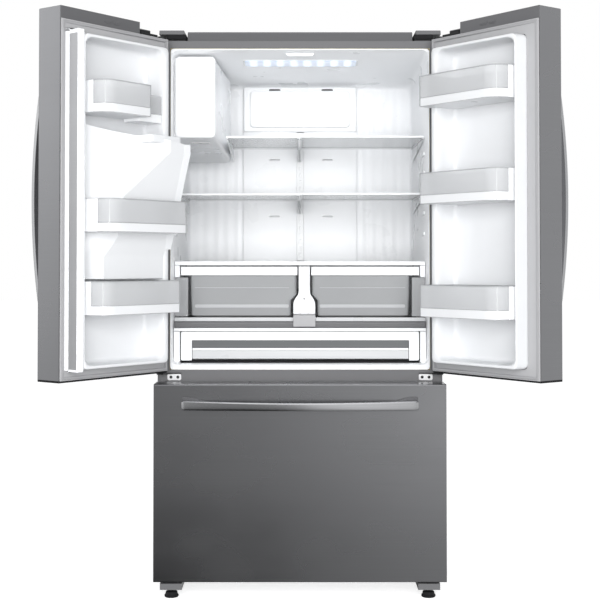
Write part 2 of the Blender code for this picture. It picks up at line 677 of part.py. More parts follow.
def build_freezer(steel, white, grey, clear, cabinet, drawer, upper):
    """Freezer front with its handle, liner, slides, basket, and the drawer above the basket."""
    panel = block((-HALF_WIDTH, HALF_WIDTH),
                  (DOOR_BACK_Y - DOOR_THICKNESS, DOOR_BACK_Y - LINER_SHEET), (DRAWER_BOTTOM, DRAWER_TOP))
    make_piece("freezer_panel", panel, steel, drawer)
    front_face = DOOR_BACK_Y - DOOR_THICKNESS
    stations = handle_stations(DRAWER_HANDLE_LENGTH)
    rings = [[(along, front_face - rise, DRAWER_HANDLE_Z + across)
              for across, rise in section] for along, section in stations]
    make_piece("freezer_handle", skinned("handle", rings), steel, drawer, smooth=True)
    liner = make_piece("freezer_door_liner",
                       block((-0.450, 0.450), (DOOR_BACK_Y - LINER_SHEET + GAP, DOOR_BACK_Y),
                             (DRAWER_BOTTOM + 0.004, DRAWER_TOP - 0.004)), white, drawer)
    plug = block((-0.390, 0.390), (DOOR_BACK_Y - 0.002, 0.012), (0.116, 0.612))
    arms = []
    for side in (-1, 1):
        low, high = sorted(side * x for x in SLIDE_X)
        arms.append(block((low, high), (0.010, 0.440), SLIDE_Z))
    combine(liner, "UNION", [plug] + arms)
    gasket = frame(rectangle(-0.444, 0.444, 0.064, 0.654), "Y", DOOR_BACK_Y + GAP, -0.0005,
                   DRAWER_GASKET_WIDTH)
    make_piece("freezer_gasket", gasket, grey, drawer)
    for side, word in ((-1, "left"), (1, "right")):
        low, high = sorted((side * RAIL_START, side * (FREEZER_HALF - GAP)))
        rail = block((low, high), (0.020, 0.446), (SLIDE_Z[0] - 0.004, SLIDE_Z[1] + 0.004))
        make_piece(f"freezer_rail_{word}", rail, grey, cabinet)
    basket = tray(rectangle(-BASKET_HALF, BASKET_HALF, 0.018, 0.436), "Z", 0.108, 0.385, SKIN)
    make_piece("freezer_basket", basket, clear, drawer)
    tray_above = tray(rectangle(-BASKET_HALF, BASKET_HALF, 0.024, 0.520), "Z", 0.445, 0.600, SKIN)
    make_piece("freezer_upper_drawer", tray_above, clear, upper)


# ---------------------------------------------------------------- handles

def handle_stations(length):
    """Sections along a bowed handle: (place along it, outline of (across, rise from the face)).

    The outer side is one shallow arc. The inner side follows it one thickness below, and comes
    down to the face in a foot at each end.
    """
    half = length / 2
    bow = HANDLE_RISE_MIDDLE - HANDLE_RISE_END
    stations = []
    places = [half * (2 * index / HANDLE_STATIONS - 1) for index in range(HANDLE_STATIONS + 1)]
    places += [-half + HANDLE_FOOT, half - HANDLE_FOOT, -half + 0.003, half - 0.003]
    for along in sorted(places):
        share = along / half
        outer = HANDLE_RISE_END + bow * (1 - share * share)
        inner = outer - HANDLE_THICKNESS
        if abs(along) > half - HANDLE_FOOT - 0.001:
            inner = GAP
        if abs(along) == half:
            outer -= 0.003
        wide = HANDLE_HALF_MIDDLE + (HANDLE_HALF_END - HANDLE_HALF_MIDDLE) * share * share
        section = [(-wide, inner), (wide, inner), (wide, outer - 0.004), (wide * 0.72, outer),
                   (-wide * 0.72, outer), (-wide, outer - 0.004)]
        stations.append((along, section))
    return stations


# ---------------------------------------------------------------- doors

def build_door_panel(side, word, steel, group):
    """Door skin and foam, hollowed behind its liner, notched and bored for the hinge pins."""
    solid = door_block(side, (0, DOOR_WIDTH), (-DOOR_THICKNESS, -LINER_SHEET), (DOOR_BOTTOM, DOOR_TOP))
    panel = make_piece(f"{word}_door_panel", solid, steel, group)
    pocket = door_block(side, (0.034, 0.416), (RECESS_P - LINER_SHEET - GAP, 0.01), (0.716, 1.718))
    notch = door_block(side, (-0.01, NOTCH_WIDTH), (NOTCH_P, 0.01),
                       (DOOR_LINER_TOP, DOOR_TOP + 0.01))
    pin_centre = (side * (HALF_WIDTH - HINGE_INSET), DOOR_BACK_Y + HINGE_P)
    bore = PIN_RADIUS + PIN_PLAY
    upper_bore = turned([(DOOR_LINER_TOP - 0.016, bore), (DOOR_LINER_TOP + 0.010, bore)], "Z",
                        pin_centre, 20)
    lower_bore = turned([(DOOR_BOTTOM - 0.010, bore), (DOOR_BOTTOM + 0.016, bore)], "Z",
                        pin_centre, 20)
    combine(panel, "DIFFERENCE", [pocket, notch, upper_bore, lower_bore])
    return panel


def build_door_liner(side, word, white, group):
    """Inner door panel: a flat border, a raised wall all round, and the recess for the bins."""
    liner = make_piece(f"{word}_door_liner",
                       door_block(side, (0.004, DOOR_WIDTH - 0.004), (-LINER_SHEET + GAP, 0),
                                  (DOOR_BOTTOM + 0.003, DOOR_LINER_TOP)), white, group)
    section = [(DIKE_START, -0.002), (DIKE_START + DIKE_LEAN, DIKE_HEIGHT), (DIKE_END, DIKE_HEIGHT),
               (DIKE_END, -0.002)]
    wall = prism(in_door(side, section), "Z", DIKE_LOW, DIKE_TOP)
    back = door_block(side, (0.036, 0.414), (RECESS_P - LINER_SHEET, -0.002), (0.718, 1.716))
    recess = door_block(side, (DIKE_INSIDE, DIKE_END - DIKE_WALL), (RECESS_P, 0.1),
                        (DIKE_LOW + DIKE_WALL, DIKE_TOP - DIKE_WALL))
    combine(liner, "UNION", [wall, back])
    combine(liner, "DIFFERENCE", [recess])
    return liner


def bin_front(start, reach):
    """Plan (s, p) of a bin's front: its free-side corner is wide and its hinge-side corner small."""
    return (arc((BIN_END - BIN_CORNER, reach - BIN_CORNER), BIN_CORNER, 0, 90, 5)
            + arc((start + BIN_EDGE, reach - BIN_EDGE), BIN_EDGE, 90, 180, 3))


def bin_outline(start, reach):
    """Plan (s, p) of a bin that rests in the door's recess and over its hinge-side wall."""
    if start > DIKE_INSIDE:
        return [(start, BIN_BACK_P), (BIN_END, BIN_BACK_P)] + bin_front(start, reach)
    over_wall = DIKE_HEIGHT + PLAY / 2
    return ([(DIKE_INSIDE + PLAY / 2, BIN_BACK_P), (BIN_END, BIN_BACK_P)] + bin_front(start, reach)
            + [(start, over_wall), (DIKE_INSIDE + PLAY / 2, over_wall)])


def bin_before_chute(start, reach, low, high):
    """Plan (s, p) of a bin whose back clears the chute housing from its low to its high edge."""
    back = [(start, chute_edge(high) + CHUTE_CLEARANCE)]
    for step in range(BACK_STEPS + 1):
        s = DIKE_INSIDE + (BIN_END - DIKE_INSIDE) * step / BACK_STEPS
        highest = max(chute_rise(s, low + (high - low) * level / 4) for level in range(5))
        back.append((s, highest + CHUTE_CLEARANCE))
    return back + bin_front(start, reach)


def build_bins(side, word, bins, clear, group):
    """Three open bins across the door, each resting over the liner's hinge-side wall."""
    for level, (start, reach, low, high) in bins.items():
        before_chute = side < 0 and level == "middle"
        if before_chute:
            outline = bin_before_chute(start, reach, low, high)
        else:
            outline = bin_outline(start, reach)
        mesh = tray(in_door(side, outline), "Z", low, high, BIN_WALL)
        make_piece(f"{word}_bin_{level}", mesh, clear, group)


def build_gasket(side, word, grey, group):
    """Magnetic gasket round the inner face."""
    outline = door_face_outline(side, (0.0125, DOOR_WIDTH - 0.008),
                                (DOOR_BOTTOM + 0.0055, DOOR_LINER_TOP - 0.004))
    gasket = frame(outline, "Y", DOOR_BACK_Y + GAP, -0.0008, GASKET_WIDTH)
    make_piece(f"{word}_door_gasket", gasket, grey, group)


def build_door_handle(side, word, steel, group):
    """Upright bowed handle near the free side."""
    centre = side * (HALF_WIDTH - DOOR_WIDTH + DOOR_HANDLE_INSET)
    face = DOOR_BACK_Y - DOOR_THICKNESS
    rings = [[(centre + across, face - rise, DOOR_HANDLE_Z + along) for across, rise in section]
             for along, section in handle_stations(DOOR_HANDLE_LENGTH)]
    make_piece(f"{word}_door_handle", skinned("handle", rings), steel, group, smooth=True)


# ---------------------------------------------------------------- dispenser and mullion

def chute_share(height):
    """How far down its taper the chute housing is at a height: 0 at the shoulder, 1 at the foot."""
    return min(max((CHUTE_SHOULDER - height) / (CHUTE_SHOULDER - CHUTE_FOOT), 0.0), 1.0)


def chute_edge(height):
    """How far the chute housing stands out at its hinge-side edge."""
    return 0.146 - 0.088 * chute_share(height)


def chute_front(height):
    """Plan (s, p) of the chute housing's front at a height, from the free side to the hinge side.

    A hollow face sweeps up from the recess to a crease, which wanders away from the hinge side
    as it comes down, and a flat one runs from the crease to the hinge-side edge.
    """
    share = chute_share(height)
    crease = (0.124 + 0.178 * share, 0.128 - 0.092 * share)
    start = (CHUTE_END, 0.024 - 0.040 * share)
    points = []
    for column in range(CHUTE_COLUMNS + 1):
        along = column / CHUTE_COLUMNS
        points.append((start[0] + (crease[0] - start[0]) * along,
                       start[1] + (crease[1] - start[1]) * along * along))
    return points + [(DIKE_INSIDE + PLAY / 2, chute_edge(height) - 0.004)]


def chute_rise(s, height):
    """How far the chute housing's front stands out at a place along the door."""
    front = chute_front(height)
    for (far_s, far_p), (near_s, near_p) in zip(front, front[1:]):
        if near_s <= s <= far_s:
            return near_p + (far_p - near_p) * (s - near_s) / (far_s - near_s)
    return front[0][1] if s > front[0][0] else front[-1][1]


def chute_section(height):
    """Plan (s, p) of the chute housing down to the recess."""
    base = RECESS_P + GAP
    return [(CHUTE_END, base)] + chute_front(height) + [(DIKE_INSIDE + PLAY / 2, base)]


def build_chute(white, group):
    """Moulded housing of the ice chute inside the left door, tapering downwards."""
    taper = CHUTE_SHOULDER - CHUTE_FOOT
    heights = [CHUTE_BOTTOM] + [CHUTE_FOOT + taper * level / 6 for level in range(7)] + [CHUTE_TOP]
    rings = [ring(in_door(-1, chute_section(height)), "Z", height) for height in heights]
    chute = make_piece("ice_chute_housing", skinned("chute", rings), white, group)
    base = DIKE_HEIGHT + PLAY / 2
    wing_rings = []
    for height in heights[1:]:
        edge = chute_edge(height)
        if edge - 0.007 >= base:
            outline = [(BIN_START, base), (0.095, base), (0.095, edge - 0.007), (BIN_START, edge)]
            wing_rings.append(ring(in_door(-1, outline), "Z", height))
    collar = prism(in_door(-1, rounded(0.066, 0.176, 0.062, 0.126, 0.020, 3)), "Z",
                   CHUTE_TOP - 0.002, CHUTE_TOP + COLLAR_HEIGHT)
    combine(chute, "UNION", [skinned("wing", wing_rings), collar])


def build_dispenser(panel, dark, black, group, paddle_group):
    """Ice and water well in the left door's outer face, with the paddle that works it."""
    window = door_block(-1, WINDOW_S, (-0.12, -0.02), WINDOW_Z)
    combine(panel, "DIFFERENCE", [window])
    outer = door_face_outline(-1, (WINDOW_S[0] + 0.0005, WINDOW_S[1] - 0.0005),
                              (WINDOW_Z[0] + 0.0005, WINDOW_Z[1] - 0.0005))
    front_y = DOOR_BACK_Y - DOOR_THICKNESS
    well = make_piece("dispenser_well", tray(outer, "Y", DOOR_BACK_Y + WELL_BACK_P, front_y - 0.002,
                                             0.003), dark, group)
    bezel_outline = door_face_outline(-1, BEZEL_S, BEZEL_Z)
    bezel = prism(bezel_outline, "Y", front_y - 0.004, front_y - GAP)
    mouth = prism(inset(outer, 0.003), "Y", front_y - 0.02, front_y + 0.005)
    combine(well, "UNION", [bezel])
    combine(well, "DIFFERENCE", [mouth])
    paddle = door_block(-1, PADDLE_S, PADDLE_P, PADDLE_Z)
    make_piece("dispenser_paddle", paddle, black, paddle_group)


def build_mullion(white, group):
    """Bar on the left door's free side that folds out behind both gaskets as the door shuts."""
    bar = door_block(-1, MULLION_S, MULLION_P, MULLION_Z)
    make_piece("mullion_bar", bar, white, group)


# ---------------------------------------------------------------- assembly

def clear_scene():
    """Remove whatever the scene holds."""
    for item in list(bpy.data.objects):
        bpy.data.objects.remove(item, do_unlink=True)


def build():
    """Make the whole refrigerator."""
    clear_scene()
    steel = make_material("stainless_steel", (0.33, 0.33, 0.34), 0.32, 1.0)
    case = make_material("case_paint", (0.36, 0.36, 0.37), 0.45, 0.3)
    white = make_material("white_plastic", (0.86, 0.87, 0.88), 0.35)
    clear = make_material("clear_plastic", (0.80, 0.82, 0.84), 0.15, 0.0, 0.5)
    glass = make_material("shelf_glass", (0.85, 0.90, 0.90), 0.05, 0.0, 0.4)
    grey = make_material("gasket_rubber", (0.62, 0.62, 0.63), 0.6)
    dark = make_material("dark_plastic", (0.12, 0.12, 0.13), 0.45)
    black = make_material("black_parts", (0.03, 0.03, 0.03), 0.5)
    nickel = make_material("hinge_plate", (0.70, 0.70, 0.72), 0.3, 1.0)
    aluminium = make_material("fin_aluminium", (0.75, 0.75, 0.76), 0.35, 1.0)
    foam = make_material("insulation_foam", (0.85, 0.78, 0.55), 0.9)

    frame_empty = make_group("part_frame", (0, 0, 0))
    frame_empty.empty.location.y = CABINET_Y
    cabinet = make_group("cabinet", (0, 0, 0), frame_empty)
    pin_x = HALF_WIDTH - HINGE_INSET
    pin_y = DOOR_BACK_Y + HINGE_P
    left = make_group("left_door", (-pin_x, pin_y, 0), cabinet, -OPEN_ANGLE)
    right = make_group("right_door", (pin_x, pin_y, 0), cabinet, OPEN_ANGLE)
    mullion = make_group("mullion", (*MULLION_AXIS, 0), left)
    paddle_x = sum(PADDLE_S) / 2 - HALF_WIDTH
    paddle = make_group("paddle", (paddle_x, DOOR_BACK_Y + sum(PADDLE_P) / 2, PADDLE_Z[1]), left)
    drawer = make_group("freezer_drawer", (0, DOOR_BACK_Y, 0.4), cabinet)
    upper = make_group("freezer_upper", (0, 0.02, 0.5), cabinet)
    crispers = {side: make_group(f"crisper_{side}", (side * 0.2, CRISPER_FRONT, 0.94), cabinet)
                for side in (-1, 1)}
    pantry = make_group("pantry", (0, PANTRY_FRONT, 0.77), cabinet)
    ice = make_group("ice", (-0.335, ICE_FRONT, 1.57), cabinet)
    casters = {side: make_group(f"caster_{side}", (side * CASTER_X, CASTER_Y, CASTER_RADIUS),
                                cabinet) for side in (-1, 1)}
    condenser_fan = make_group("condenser_fan_axis", (-0.051, *FAN_CENTRE), cabinet)
    fridge_fan = make_group("fridge_fan_axis", (0.0, 0.552, 1.595), cabinet)

    build_cabinet_shell(case, cabinet)
    build_foam(foam, cabinet)
    build_liners(white, cabinet)
    build_feet_and_casters(black, cabinet, casters)
    build_machinery(black, case, aluminium, cabinet, condenser_fan)
    build_top(dark, black, cabinet)
    build_mid_hinges(nickel, cabinet)
    build_duct_cover(white, cabinet)
    build_fridge_fan(white, fridge_fan)
    build_ice_maker(white, cabinet, ice)
    build_shelves(glass, cabinet)
    build_crispers(clear, white, cabinet, crispers)
    build_pantry(clear, dark, cabinet, pantry)
    build_freezer(steel, white, grey, clear, cabinet, drawer, upper)

    for side, word, group, bins in ((-1, "left", left, LEFT_BINS), (1, "right", right, RIGHT_BINS)):
        panel = build_door_panel(side, word, steel, group)
        build_door_liner(side, word, white, group)
        build_gasket(side, word, grey, group)
        build_door_handle(side, word, steel, group)
        build_bins(side, word, bins, clear, group)
        if side < 0:
            build_dispenser(panel, dark, black, group, paddle)
            build_chute(white, group)
    build_mullion(white, mullion)


build()
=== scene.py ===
"""Looks of a french door refrigerator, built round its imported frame.

Lengths are metres in the frame's own axes: x = 0 is the middle and z = 0 the floor. Depths
inside the cabinet are counted from the front flange. A door's pieces are drawn in the door's
coordinates: s runs from its hinge side to its free side, p runs from its inner face into the
cabinet when the door is shut, and the door's place carries them to where the door stands.
"""

import json
import math

import bmesh
import bpy
from mathutils import Matrix, Vector


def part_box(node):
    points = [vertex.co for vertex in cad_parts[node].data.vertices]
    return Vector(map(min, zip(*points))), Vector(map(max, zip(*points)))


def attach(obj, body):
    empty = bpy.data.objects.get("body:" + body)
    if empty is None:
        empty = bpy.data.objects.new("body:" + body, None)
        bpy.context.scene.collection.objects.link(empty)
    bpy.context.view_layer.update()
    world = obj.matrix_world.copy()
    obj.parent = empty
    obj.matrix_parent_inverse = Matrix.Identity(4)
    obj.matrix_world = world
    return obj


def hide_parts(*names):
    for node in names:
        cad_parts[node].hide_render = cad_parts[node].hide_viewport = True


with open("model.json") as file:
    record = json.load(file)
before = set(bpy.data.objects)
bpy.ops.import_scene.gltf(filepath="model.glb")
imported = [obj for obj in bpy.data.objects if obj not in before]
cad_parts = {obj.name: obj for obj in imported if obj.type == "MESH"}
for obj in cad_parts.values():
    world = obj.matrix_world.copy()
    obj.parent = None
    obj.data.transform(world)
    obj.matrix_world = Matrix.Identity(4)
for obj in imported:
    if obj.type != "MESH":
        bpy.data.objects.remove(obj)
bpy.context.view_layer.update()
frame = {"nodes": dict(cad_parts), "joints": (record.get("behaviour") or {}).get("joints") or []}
NODES = frame["nodes"]
JOINTS = {joint["name"]: joint for joint in frame["joints"]}

SIDES = ((-1, "left"), (1, "right"))
GAP = 0.0004                # between faces that touch
SHARP_ANGLE = 40            # degrees, from which an edge is rounded
SMOOTH_ANGLE = 35           # degrees, up to which shading is smooth

# Cabinet, from the frame
SHEET = 0.0033              # steel sheet in front of the foam
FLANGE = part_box("cabinet_foam")[0].y - SHEET
HALF_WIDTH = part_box("freezer_panel")[1].x

# Fridge compartment
FRIDGE_HALF = 0.412
FRIDGE_FLOOR = 0.712
FRIDGE_SILL = 0.697
FRIDGE_DEPTH = 0.570
CEILING_FRONT = 1.722
CEILING_BACK = 1.686
CORNER = 0.024
COVE = 0.030

# Doors
INNER_FACE = FLANGE - 0.013
DOOR_WIDTH = 0.452
DOOR_THICKNESS = 0.099
SKIN = 0.0012               # steel sheet of a door
DOOR_EDGE = 0.007           # how far a door's outer edges are rounded off
DOOR_BOTTOM = 0.6907
DOOR_TOP = 1.7836
CAP_LOW = 1.7465            # the top cap starts where the door's liner ends
BOTTOM_CAP = 0.006
NOTCH_WIDTH = 0.125         # room in the top cap for the hinge's strap
NOTCH_P = -0.080
PLUG_S = (0.226, 0.262)
GASKET_S = (0.0125, 0.4462)
GASKET_PROFILE = ((0, GAP), (0, 0.0030), (0.0010, 0.0046), (0.0005, 0.0062), (0.0012, 0.0112),
                  (0.0030, 0.0122), (0.0066, 0.0122), (0.0082, 0.0112), (0.0086, 0.0062),
                  (0.0080, 0.0046), (0.0090, 0.0030), (0.0090, GAP))    # across, rise
GASKET_FREE_S = 0.425       # past this the gasket is pressed flat, clear of the mullion
GASKET_FREE_SHARE = 0.12
MULLION_RAIL_S = (0.4300, 0.4368)
DIKE_HEIGHT = 0.056         # the wall that rises all round a door's liner
DIKE_S = (0.042, 0.404)
DIKE_Z = (0.728, 1.706)
DIKE_LEAN = 0.012           # how far the hinge side's outer face leans in
DIKE_INNER_LEAN = 0.024     # and its inner face
DIKE_CORNER = 0.018
DIKE_WALL = 0.014
DIKE_FREE_SHARE = 0.25      # how thick the wall's free side is, against its other sides
DIKE_DROP = 0.008           # how much lower the free side is
LINER_ROOM_S = (0.034, 0.416)      # the skin is open here, behind the liner
LINER_ROOM_Z = (0.716, 1.718)
RECESS_P = -0.026
RECESS_S = (0.080, 0.386)
RECESS_CORNER = 0.036
BIN_END = 0.384
BIN_WALL = 0.003
BIN_BACK_P = -0.020
BIN_CORNER = 0.054
BIN_SMALL_CORNER = 0.006
SMALL_BIN_END = 0.374       # of the short bin at the top of the left door
BIN_BASE_SHARE = 0.27       # white lower part of a bin's height

# Ice chute housing
CHUTE_TOP = 1.398
CHUTE_TOP_SLOPE = 0.15
CHUTE_CREASE = ((0.00, 0.142, 0.141), (0.45, 0.300, 0.098), (0.82, 0.2905, 0.068),
                (1.00, 0.331, 0.052))     # share of the taper, then s and p
CHUTE_SHOULDER = 1.370
CHUTE_FOOT = 1.054
CHUTE_BOTTOM = 0.990
CHUTE_FREE_S = 0.3855
CHUTE_EDGE = 0.146          # how far the hinge-side edge stands out at the shoulder
CHUTE_EDGE_DROP = 0.088     # and how much less it does at the foot
CHUTE_WING_S = (0.058, 0.0815)     # the part that laps over the liner's wall
CHUTE_COLLAR = (0.072, 0.215, 0.062, 0.128)
CHUTE_CLEARANCE = 0.006     # to the bin in front

# Handles
HANDLE_RISE_END = 0.016
HANDLE_RISE_MIDDLE = 0.064
HANDLE_THICKNESS = 0.014
HANDLE_HALF_END = 0.015
HANDLE_HALF_MIDDLE = 0.012
HANDLE_FOOT = (0.050, 0.064)    # how far from its ends a handle stands on the face

# Dispenser
WINDOW_S = (0.120, 0.330)
WINDOW_Z = (1.040, 1.380)
BEZEL_S = (0.108, 0.342)
BEZEL_Z = (1.028, 1.470)
WELL_BACK = -0.036
SCREEN_Z = (1.395, 1.458)
KEY_Z = (1.407, 1.431)
KEYS = 5

# Hinges
PIN_S = 0.0117
PIN_P = -0.0229
ARM_Z = (0.6845, 0.6872)
HINGE_PLATE_X = (0.3785, 0.4225)
HINGE_PLATE_TOP = 0.6838
HINGE_SCREWS_X = (0.389, 0.411)
HINGE_SCREWS_Z = 0.6735

# Cabinet's fittings
VENT_ROWS = 9
VENT_COLUMNS = 10
VENT_STEP = (0.080, 0.021)
VENT_MARGIN = (0.055, 0.030)
VENT_SIZE = (0.058, 0.007)
DUCT_CENTRE = 0.0010
DUCT_HEAD = 1.512           # the flat head starts here
OUTLETS_X = (-0.092, 0.099)
OUTLETS_Z = (1.410, 1.205)
TRACK_HALF = 0.0125
TRACK_SLOTS = 18
TRACK_STEP = 0.024
LAMP_HALF = 0.186
LAMP_DEPTH = (0.150, 0.232)
DIODE_SPACING = 0.045
RIB_HEIGHTS = (1.128, 1.196, 1.330, 1.392)
ICE_MAKER_MOUTH = (-0.4000, -0.2815, 1.4500, 1.6950)
FAN_PLATE = (-0.182, 0.182, 1.528, 1.662)
FAN_PLATE_ROOM = (-0.188, 0.188, 1.524, 1.668)
SHELVES = ("shelf_upper_left", "shelf_upper_right", "shelf_lower_left", "shelf_lower_right")
CRISPER_LEVELS = ((0.8622, 0.0450, 0.010), (0.8660, 0.0435, 0.004), (0.9140, 0.0430, 0.002),
                  (0.9340, 0.0250, 0.001),
                  (1.0190, 0.0248, 0.0))    # z, inner side from the post's middle, outer side drawn in
CRISPER_RIDGES = ((0.9560, 0.0011), (0.8960, 0.0055))       # z, half height
CRISPER_GRIP_Z = (0.9965, 1.0248)
POST_NECK = 0.0185              # half width
POST_WAIST = (0.912, 0.936)     # where the post's foot narrows to its neck

# Freezer
FREEZER_PLUG = (-0.389, 0.389, 0.117, 0.611)
FREEZER_GASKET = (-0.444, 0.444, 0.064, 0.654)
FREEZER_GASKET_PROFILE = ((0, 0.0003), (0, 0.0035), (0.0020, 0.0050), (0.0010, 0.0068),
                          (0.0030, 0.0115), (0.0080, 0.0122), (0.0240, 0.0122), (0.0280, 0.0115),
                          (0.0300, 0.0068), (0.0290, 0.0050), (0.0320, 0.0035), (0.0320, 0.0003))
SLIDE_ARM_X = (0.3822, 0.3938)
SLIDE_ARM_Z = (0.3925, 0.4235)
BASKET_ROWS = 3
BASKET_COLUMNS = 16
BASKET_STEP = (0.0420, 0.070)

# Light of the surround, for matte surfaces and as glossy ones mirror it: a base, and ramps
# (direction, low, high, gain) that add to it
MATTE_BASE = 0.42
MATTE_RAMPS = (((0.0, 0.0, -1.0), 0.05, 0.60, 0.35),)
GLOSSY_BASE = 0.03
GLOSSY_RAMPS = (((-1.0, 0.0, 0.0), 0.35, 0.95, 0.32),
                ((-1.0, 0.0, 1.0), 0.80, 1.20, 0.60),
                ((0.0, 0.0, 1.0), 0.15, 0.85, 0.45),
                ((0.0, 0.0, 1.0), -0.25, -0.18, 0.24),
                ((1.0, 0.0, 0.0), -0.03, 0.05, 0.36),
                ((1.0, 0.0, 0.6), -0.02, 0.10, 0.32),
                ((1.0, 0.0, 0.0), 0.30, 0.70, -0.25))
FLOOR_GLOW = 0.70
LAMPS = (("front_left", (-0.8, -4.7, 1.7), (0.0, 0.3, 1.0), (2.0, 2.0), 90),
         ("front_right", (0.8, -4.7, 1.7), (0.0, 0.3, 1.0), (2.0, 2.0), 90),
         ("low_front", (0.0, -4.9, 0.7), (0.0, 0.3, 1.1), (2.4, 1.0), 60),
         ("inside", (0.0, FLANGE + 0.19, 1.690), (0.0, FLANGE + 0.15, 0.0), (0.34, 0.05), 0.3))

# Camera
CAMERA_LENS = 75.25
CAMERA_SENSOR = 36.0
CAMERA_SHIFT = -0.109
CAMERA_TILT = 1.29          # degrees upwards
CAMERA_BACK = 4.008         # in front of the flange
CAMERA_HEIGHT = 1.0374


# ---------------------------------------------------------------- outlines

def arc(centre, radius, start, end, steps):
    """Points along an arc between two angles in degrees."""
    points = []
    for step in range(steps + 1):
        angle = math.radians(start + (end - start) * step / steps)
        points.append((centre[0] + radius * math.cos(angle), centre[1] + radius * math.sin(angle)))
    return points


def softened(corners, steps=5):
    """Outline through corners (u, v, cut): each is rounded off over its cut length."""
    points = []
    count = len(corners)
    for index, (u, v, cut) in enumerate(corners):
        here = Vector((u, v))
        before = Vector(corners[index - 1][:2])
        after = Vector(corners[(index + 1) % count][:2])
        start = here + (before - here).normalized() * cut
        end = here + (after - here).normalized() * cut
        if cut == 0:
            points.append(tuple(here))
            continue
        for step in range(steps + 1):
            share = step / steps
            point = start * (1 - share) ** 2 + here * 2 * share * (1 - share) + end * share ** 2
            points.append(tuple(point))
    return points


def rounded(low_u, high_u, low_v, high_v, radius, steps=5):
    """Rectangle with round corners."""
    return softened([(low_u, low_v, radius), (high_u, low_v, radius),
                     (high_u, high_v, radius), (low_u, high_v, radius)], steps)


def rectangle(low_u, high_u, low_v, high_v):
    """Rectangle with sharp corners."""
    return [(low_u, low_v), (high_u, low_v), (high_u, high_v), (low_u, high_v)]


def inset(outline, distance):
    """The outline moved inwards, with mitred corners."""
    count = len(outline)
    area = sum(outline[i][0] * outline[(i + 1) % count][1]
               - outline[(i + 1) % count][0] * outline[i][1] for i in range(count))
    turn = 1 if area > 0 else -1
    moved = []
    for index, point in enumerate(outline):
        here = Vector(point)
        before = (here - Vector(outline[index - 1])).normalized()
        after = (Vector(outline[(index + 1) % count]) - here).normalized()
        normal_before = Vector((-before.y, before.x)) * turn
        normal_after = Vector((-after.y, after.x)) * turn
        mitre = (normal_before + normal_after) / (1 + normal_before.dot(normal_after))
        moved.append(tuple(here + mitre * distance))
    return moved


def ring(outline, axis, at):
    """Outline as 3D points square to an axis: X takes (y, z), Y takes (x, z), Z takes (x, y)."""
    if axis == "X":
        return [(at, u, v) for u, v in outline]
    if axis == "Y":
        return [(u, at, v) for u, v in outline]
    return [(u, v, at) for u, v in outline]


def mirrored(side, near, far):
    """Limits of a stretch of x on one side of the middle."""
    return sorted((side * near, side * far))


def smoothstep(low, high, value):
    """0 below low, 1 above high and an even curve between."""
    share = min(max((value - low) / (high - low), 0.0), 1.0)
    return share * share * (3 - 2 * share)


# ---------------------------------------------------------------- meshes

def loft(rings, looped=False):
    """Closed mesh through rings of as many points each."""
    shape = bmesh.new()
    loops = [[shape.verts.new(point) for point in points] for points in rings]
    pairs = list(zip(loops, loops[1:]))
    if looped:
        pairs.append((loops[-1], loops[0]))
    for lower, upper in pairs:
        for index in range(len(lower)):
            following = (index + 1) % len(lower)
            shape.faces.new((lower[index], lower[following], upper[following], upper[index]))
    if not looped:
        shape.faces.new(loops[0])
        shape.faces.new(loops[-1])
    bmesh.ops.recalc_face_normals(shape, faces=shape.faces)
    mesh = bpy.data.meshes.new("loft")
    shape.to_mesh(mesh)
    shape.free()
    return mesh


def prism(outline, axis, start, end):
    """Solid of one outline between two planes."""
    return loft([ring(outline, axis, start), ring(outline, axis, end)])


def block(x, y, z):
    """Box between pairs of limits."""
    return prism(rectangle(*x, *y), "Z", *z)


def slab(outline, axis, start, end, edge):
    """Solid of one outline whose far rim, at end, is rounded over an edge radius."""
    rings = [ring(outline, axis, start)]
    direction = math.copysign(1, end - start)
    for step in range(5):
        angle = math.radians(22.5 * step)
        rings.append(ring(inset(outline, edge * (1 - math.cos(angle))), axis,
                          end - direction * edge * (1 - math.sin(angle))))
    return loft(rings)


def tray(outline, axis, floor, rim, wall):
    """Open box of an outline."""
    inner = inset(outline, wall)
    inside = floor + math.copysign(wall, rim - floor)
    return loft([ring(outline, axis, floor), ring(outline, axis, rim),
                 ring(inner, axis, rim), ring(inner, axis, inside)])


def hoop(outline, axis, start, end, width):
    """Flat closed frame that follows an outline."""
    inner = inset(outline, width)
    return loft([ring(outline, axis, start), ring(outline, axis, end),
                 ring(inner, axis, end), ring(inner, axis, start)], looped=True)


def turned(profile, axis, centre, segments=32):
    """Solid of revolution: the profile lists (distance along the axis, radius)."""
    rings = []
    for along, radius in profile:
        circle = arc(centre, radius, 0, 360 - 360 / segments, segments - 1)
        rings.append(ring(circle, axis, along))
    return loft(rings)


def tube(points, radius, segments=12):
    """Round bar along points, its ends cut square."""
    rings = []
    for index, point in enumerate(points):
        here = Vector(point)
        before = Vector(points[max(index - 1, 0)])
        after = Vector(points[min(index + 1, len(points) - 1)])
        turn = (after - before).to_track_quat("Z", "Y")
        circle = arc((0, 0), radius, 0, 360 - 360 / segments, segments - 1)
        rings.append([tuple(here + turn @ Vector((u, v, 0))) for u, v in circle])
    return loft(rings)


def dome(centre, axis, direction, radius, height):
    """Screw head: a low dome that stands on a plane."""
    index = "XYZ".index(axis)
    middle = [value for place, value in enumerate(centre) if place != index]
    profile = [(centre[index] + direction * height * rise, radius * share)
               for rise, share in ((0, 1), (0.5, 0.92), (1, 0.55), (0.6, 0.30))]
    return turned(profile, axis, middle, 20)


def joined(meshes):
    """One mesh that holds several."""
    shape = bmesh.new()
    for mesh in meshes:
        shape.from_mesh(mesh)
    whole = bpy.data.meshes.new("joined")
    shape.to_mesh(whole)
    shape.free()
    return whole


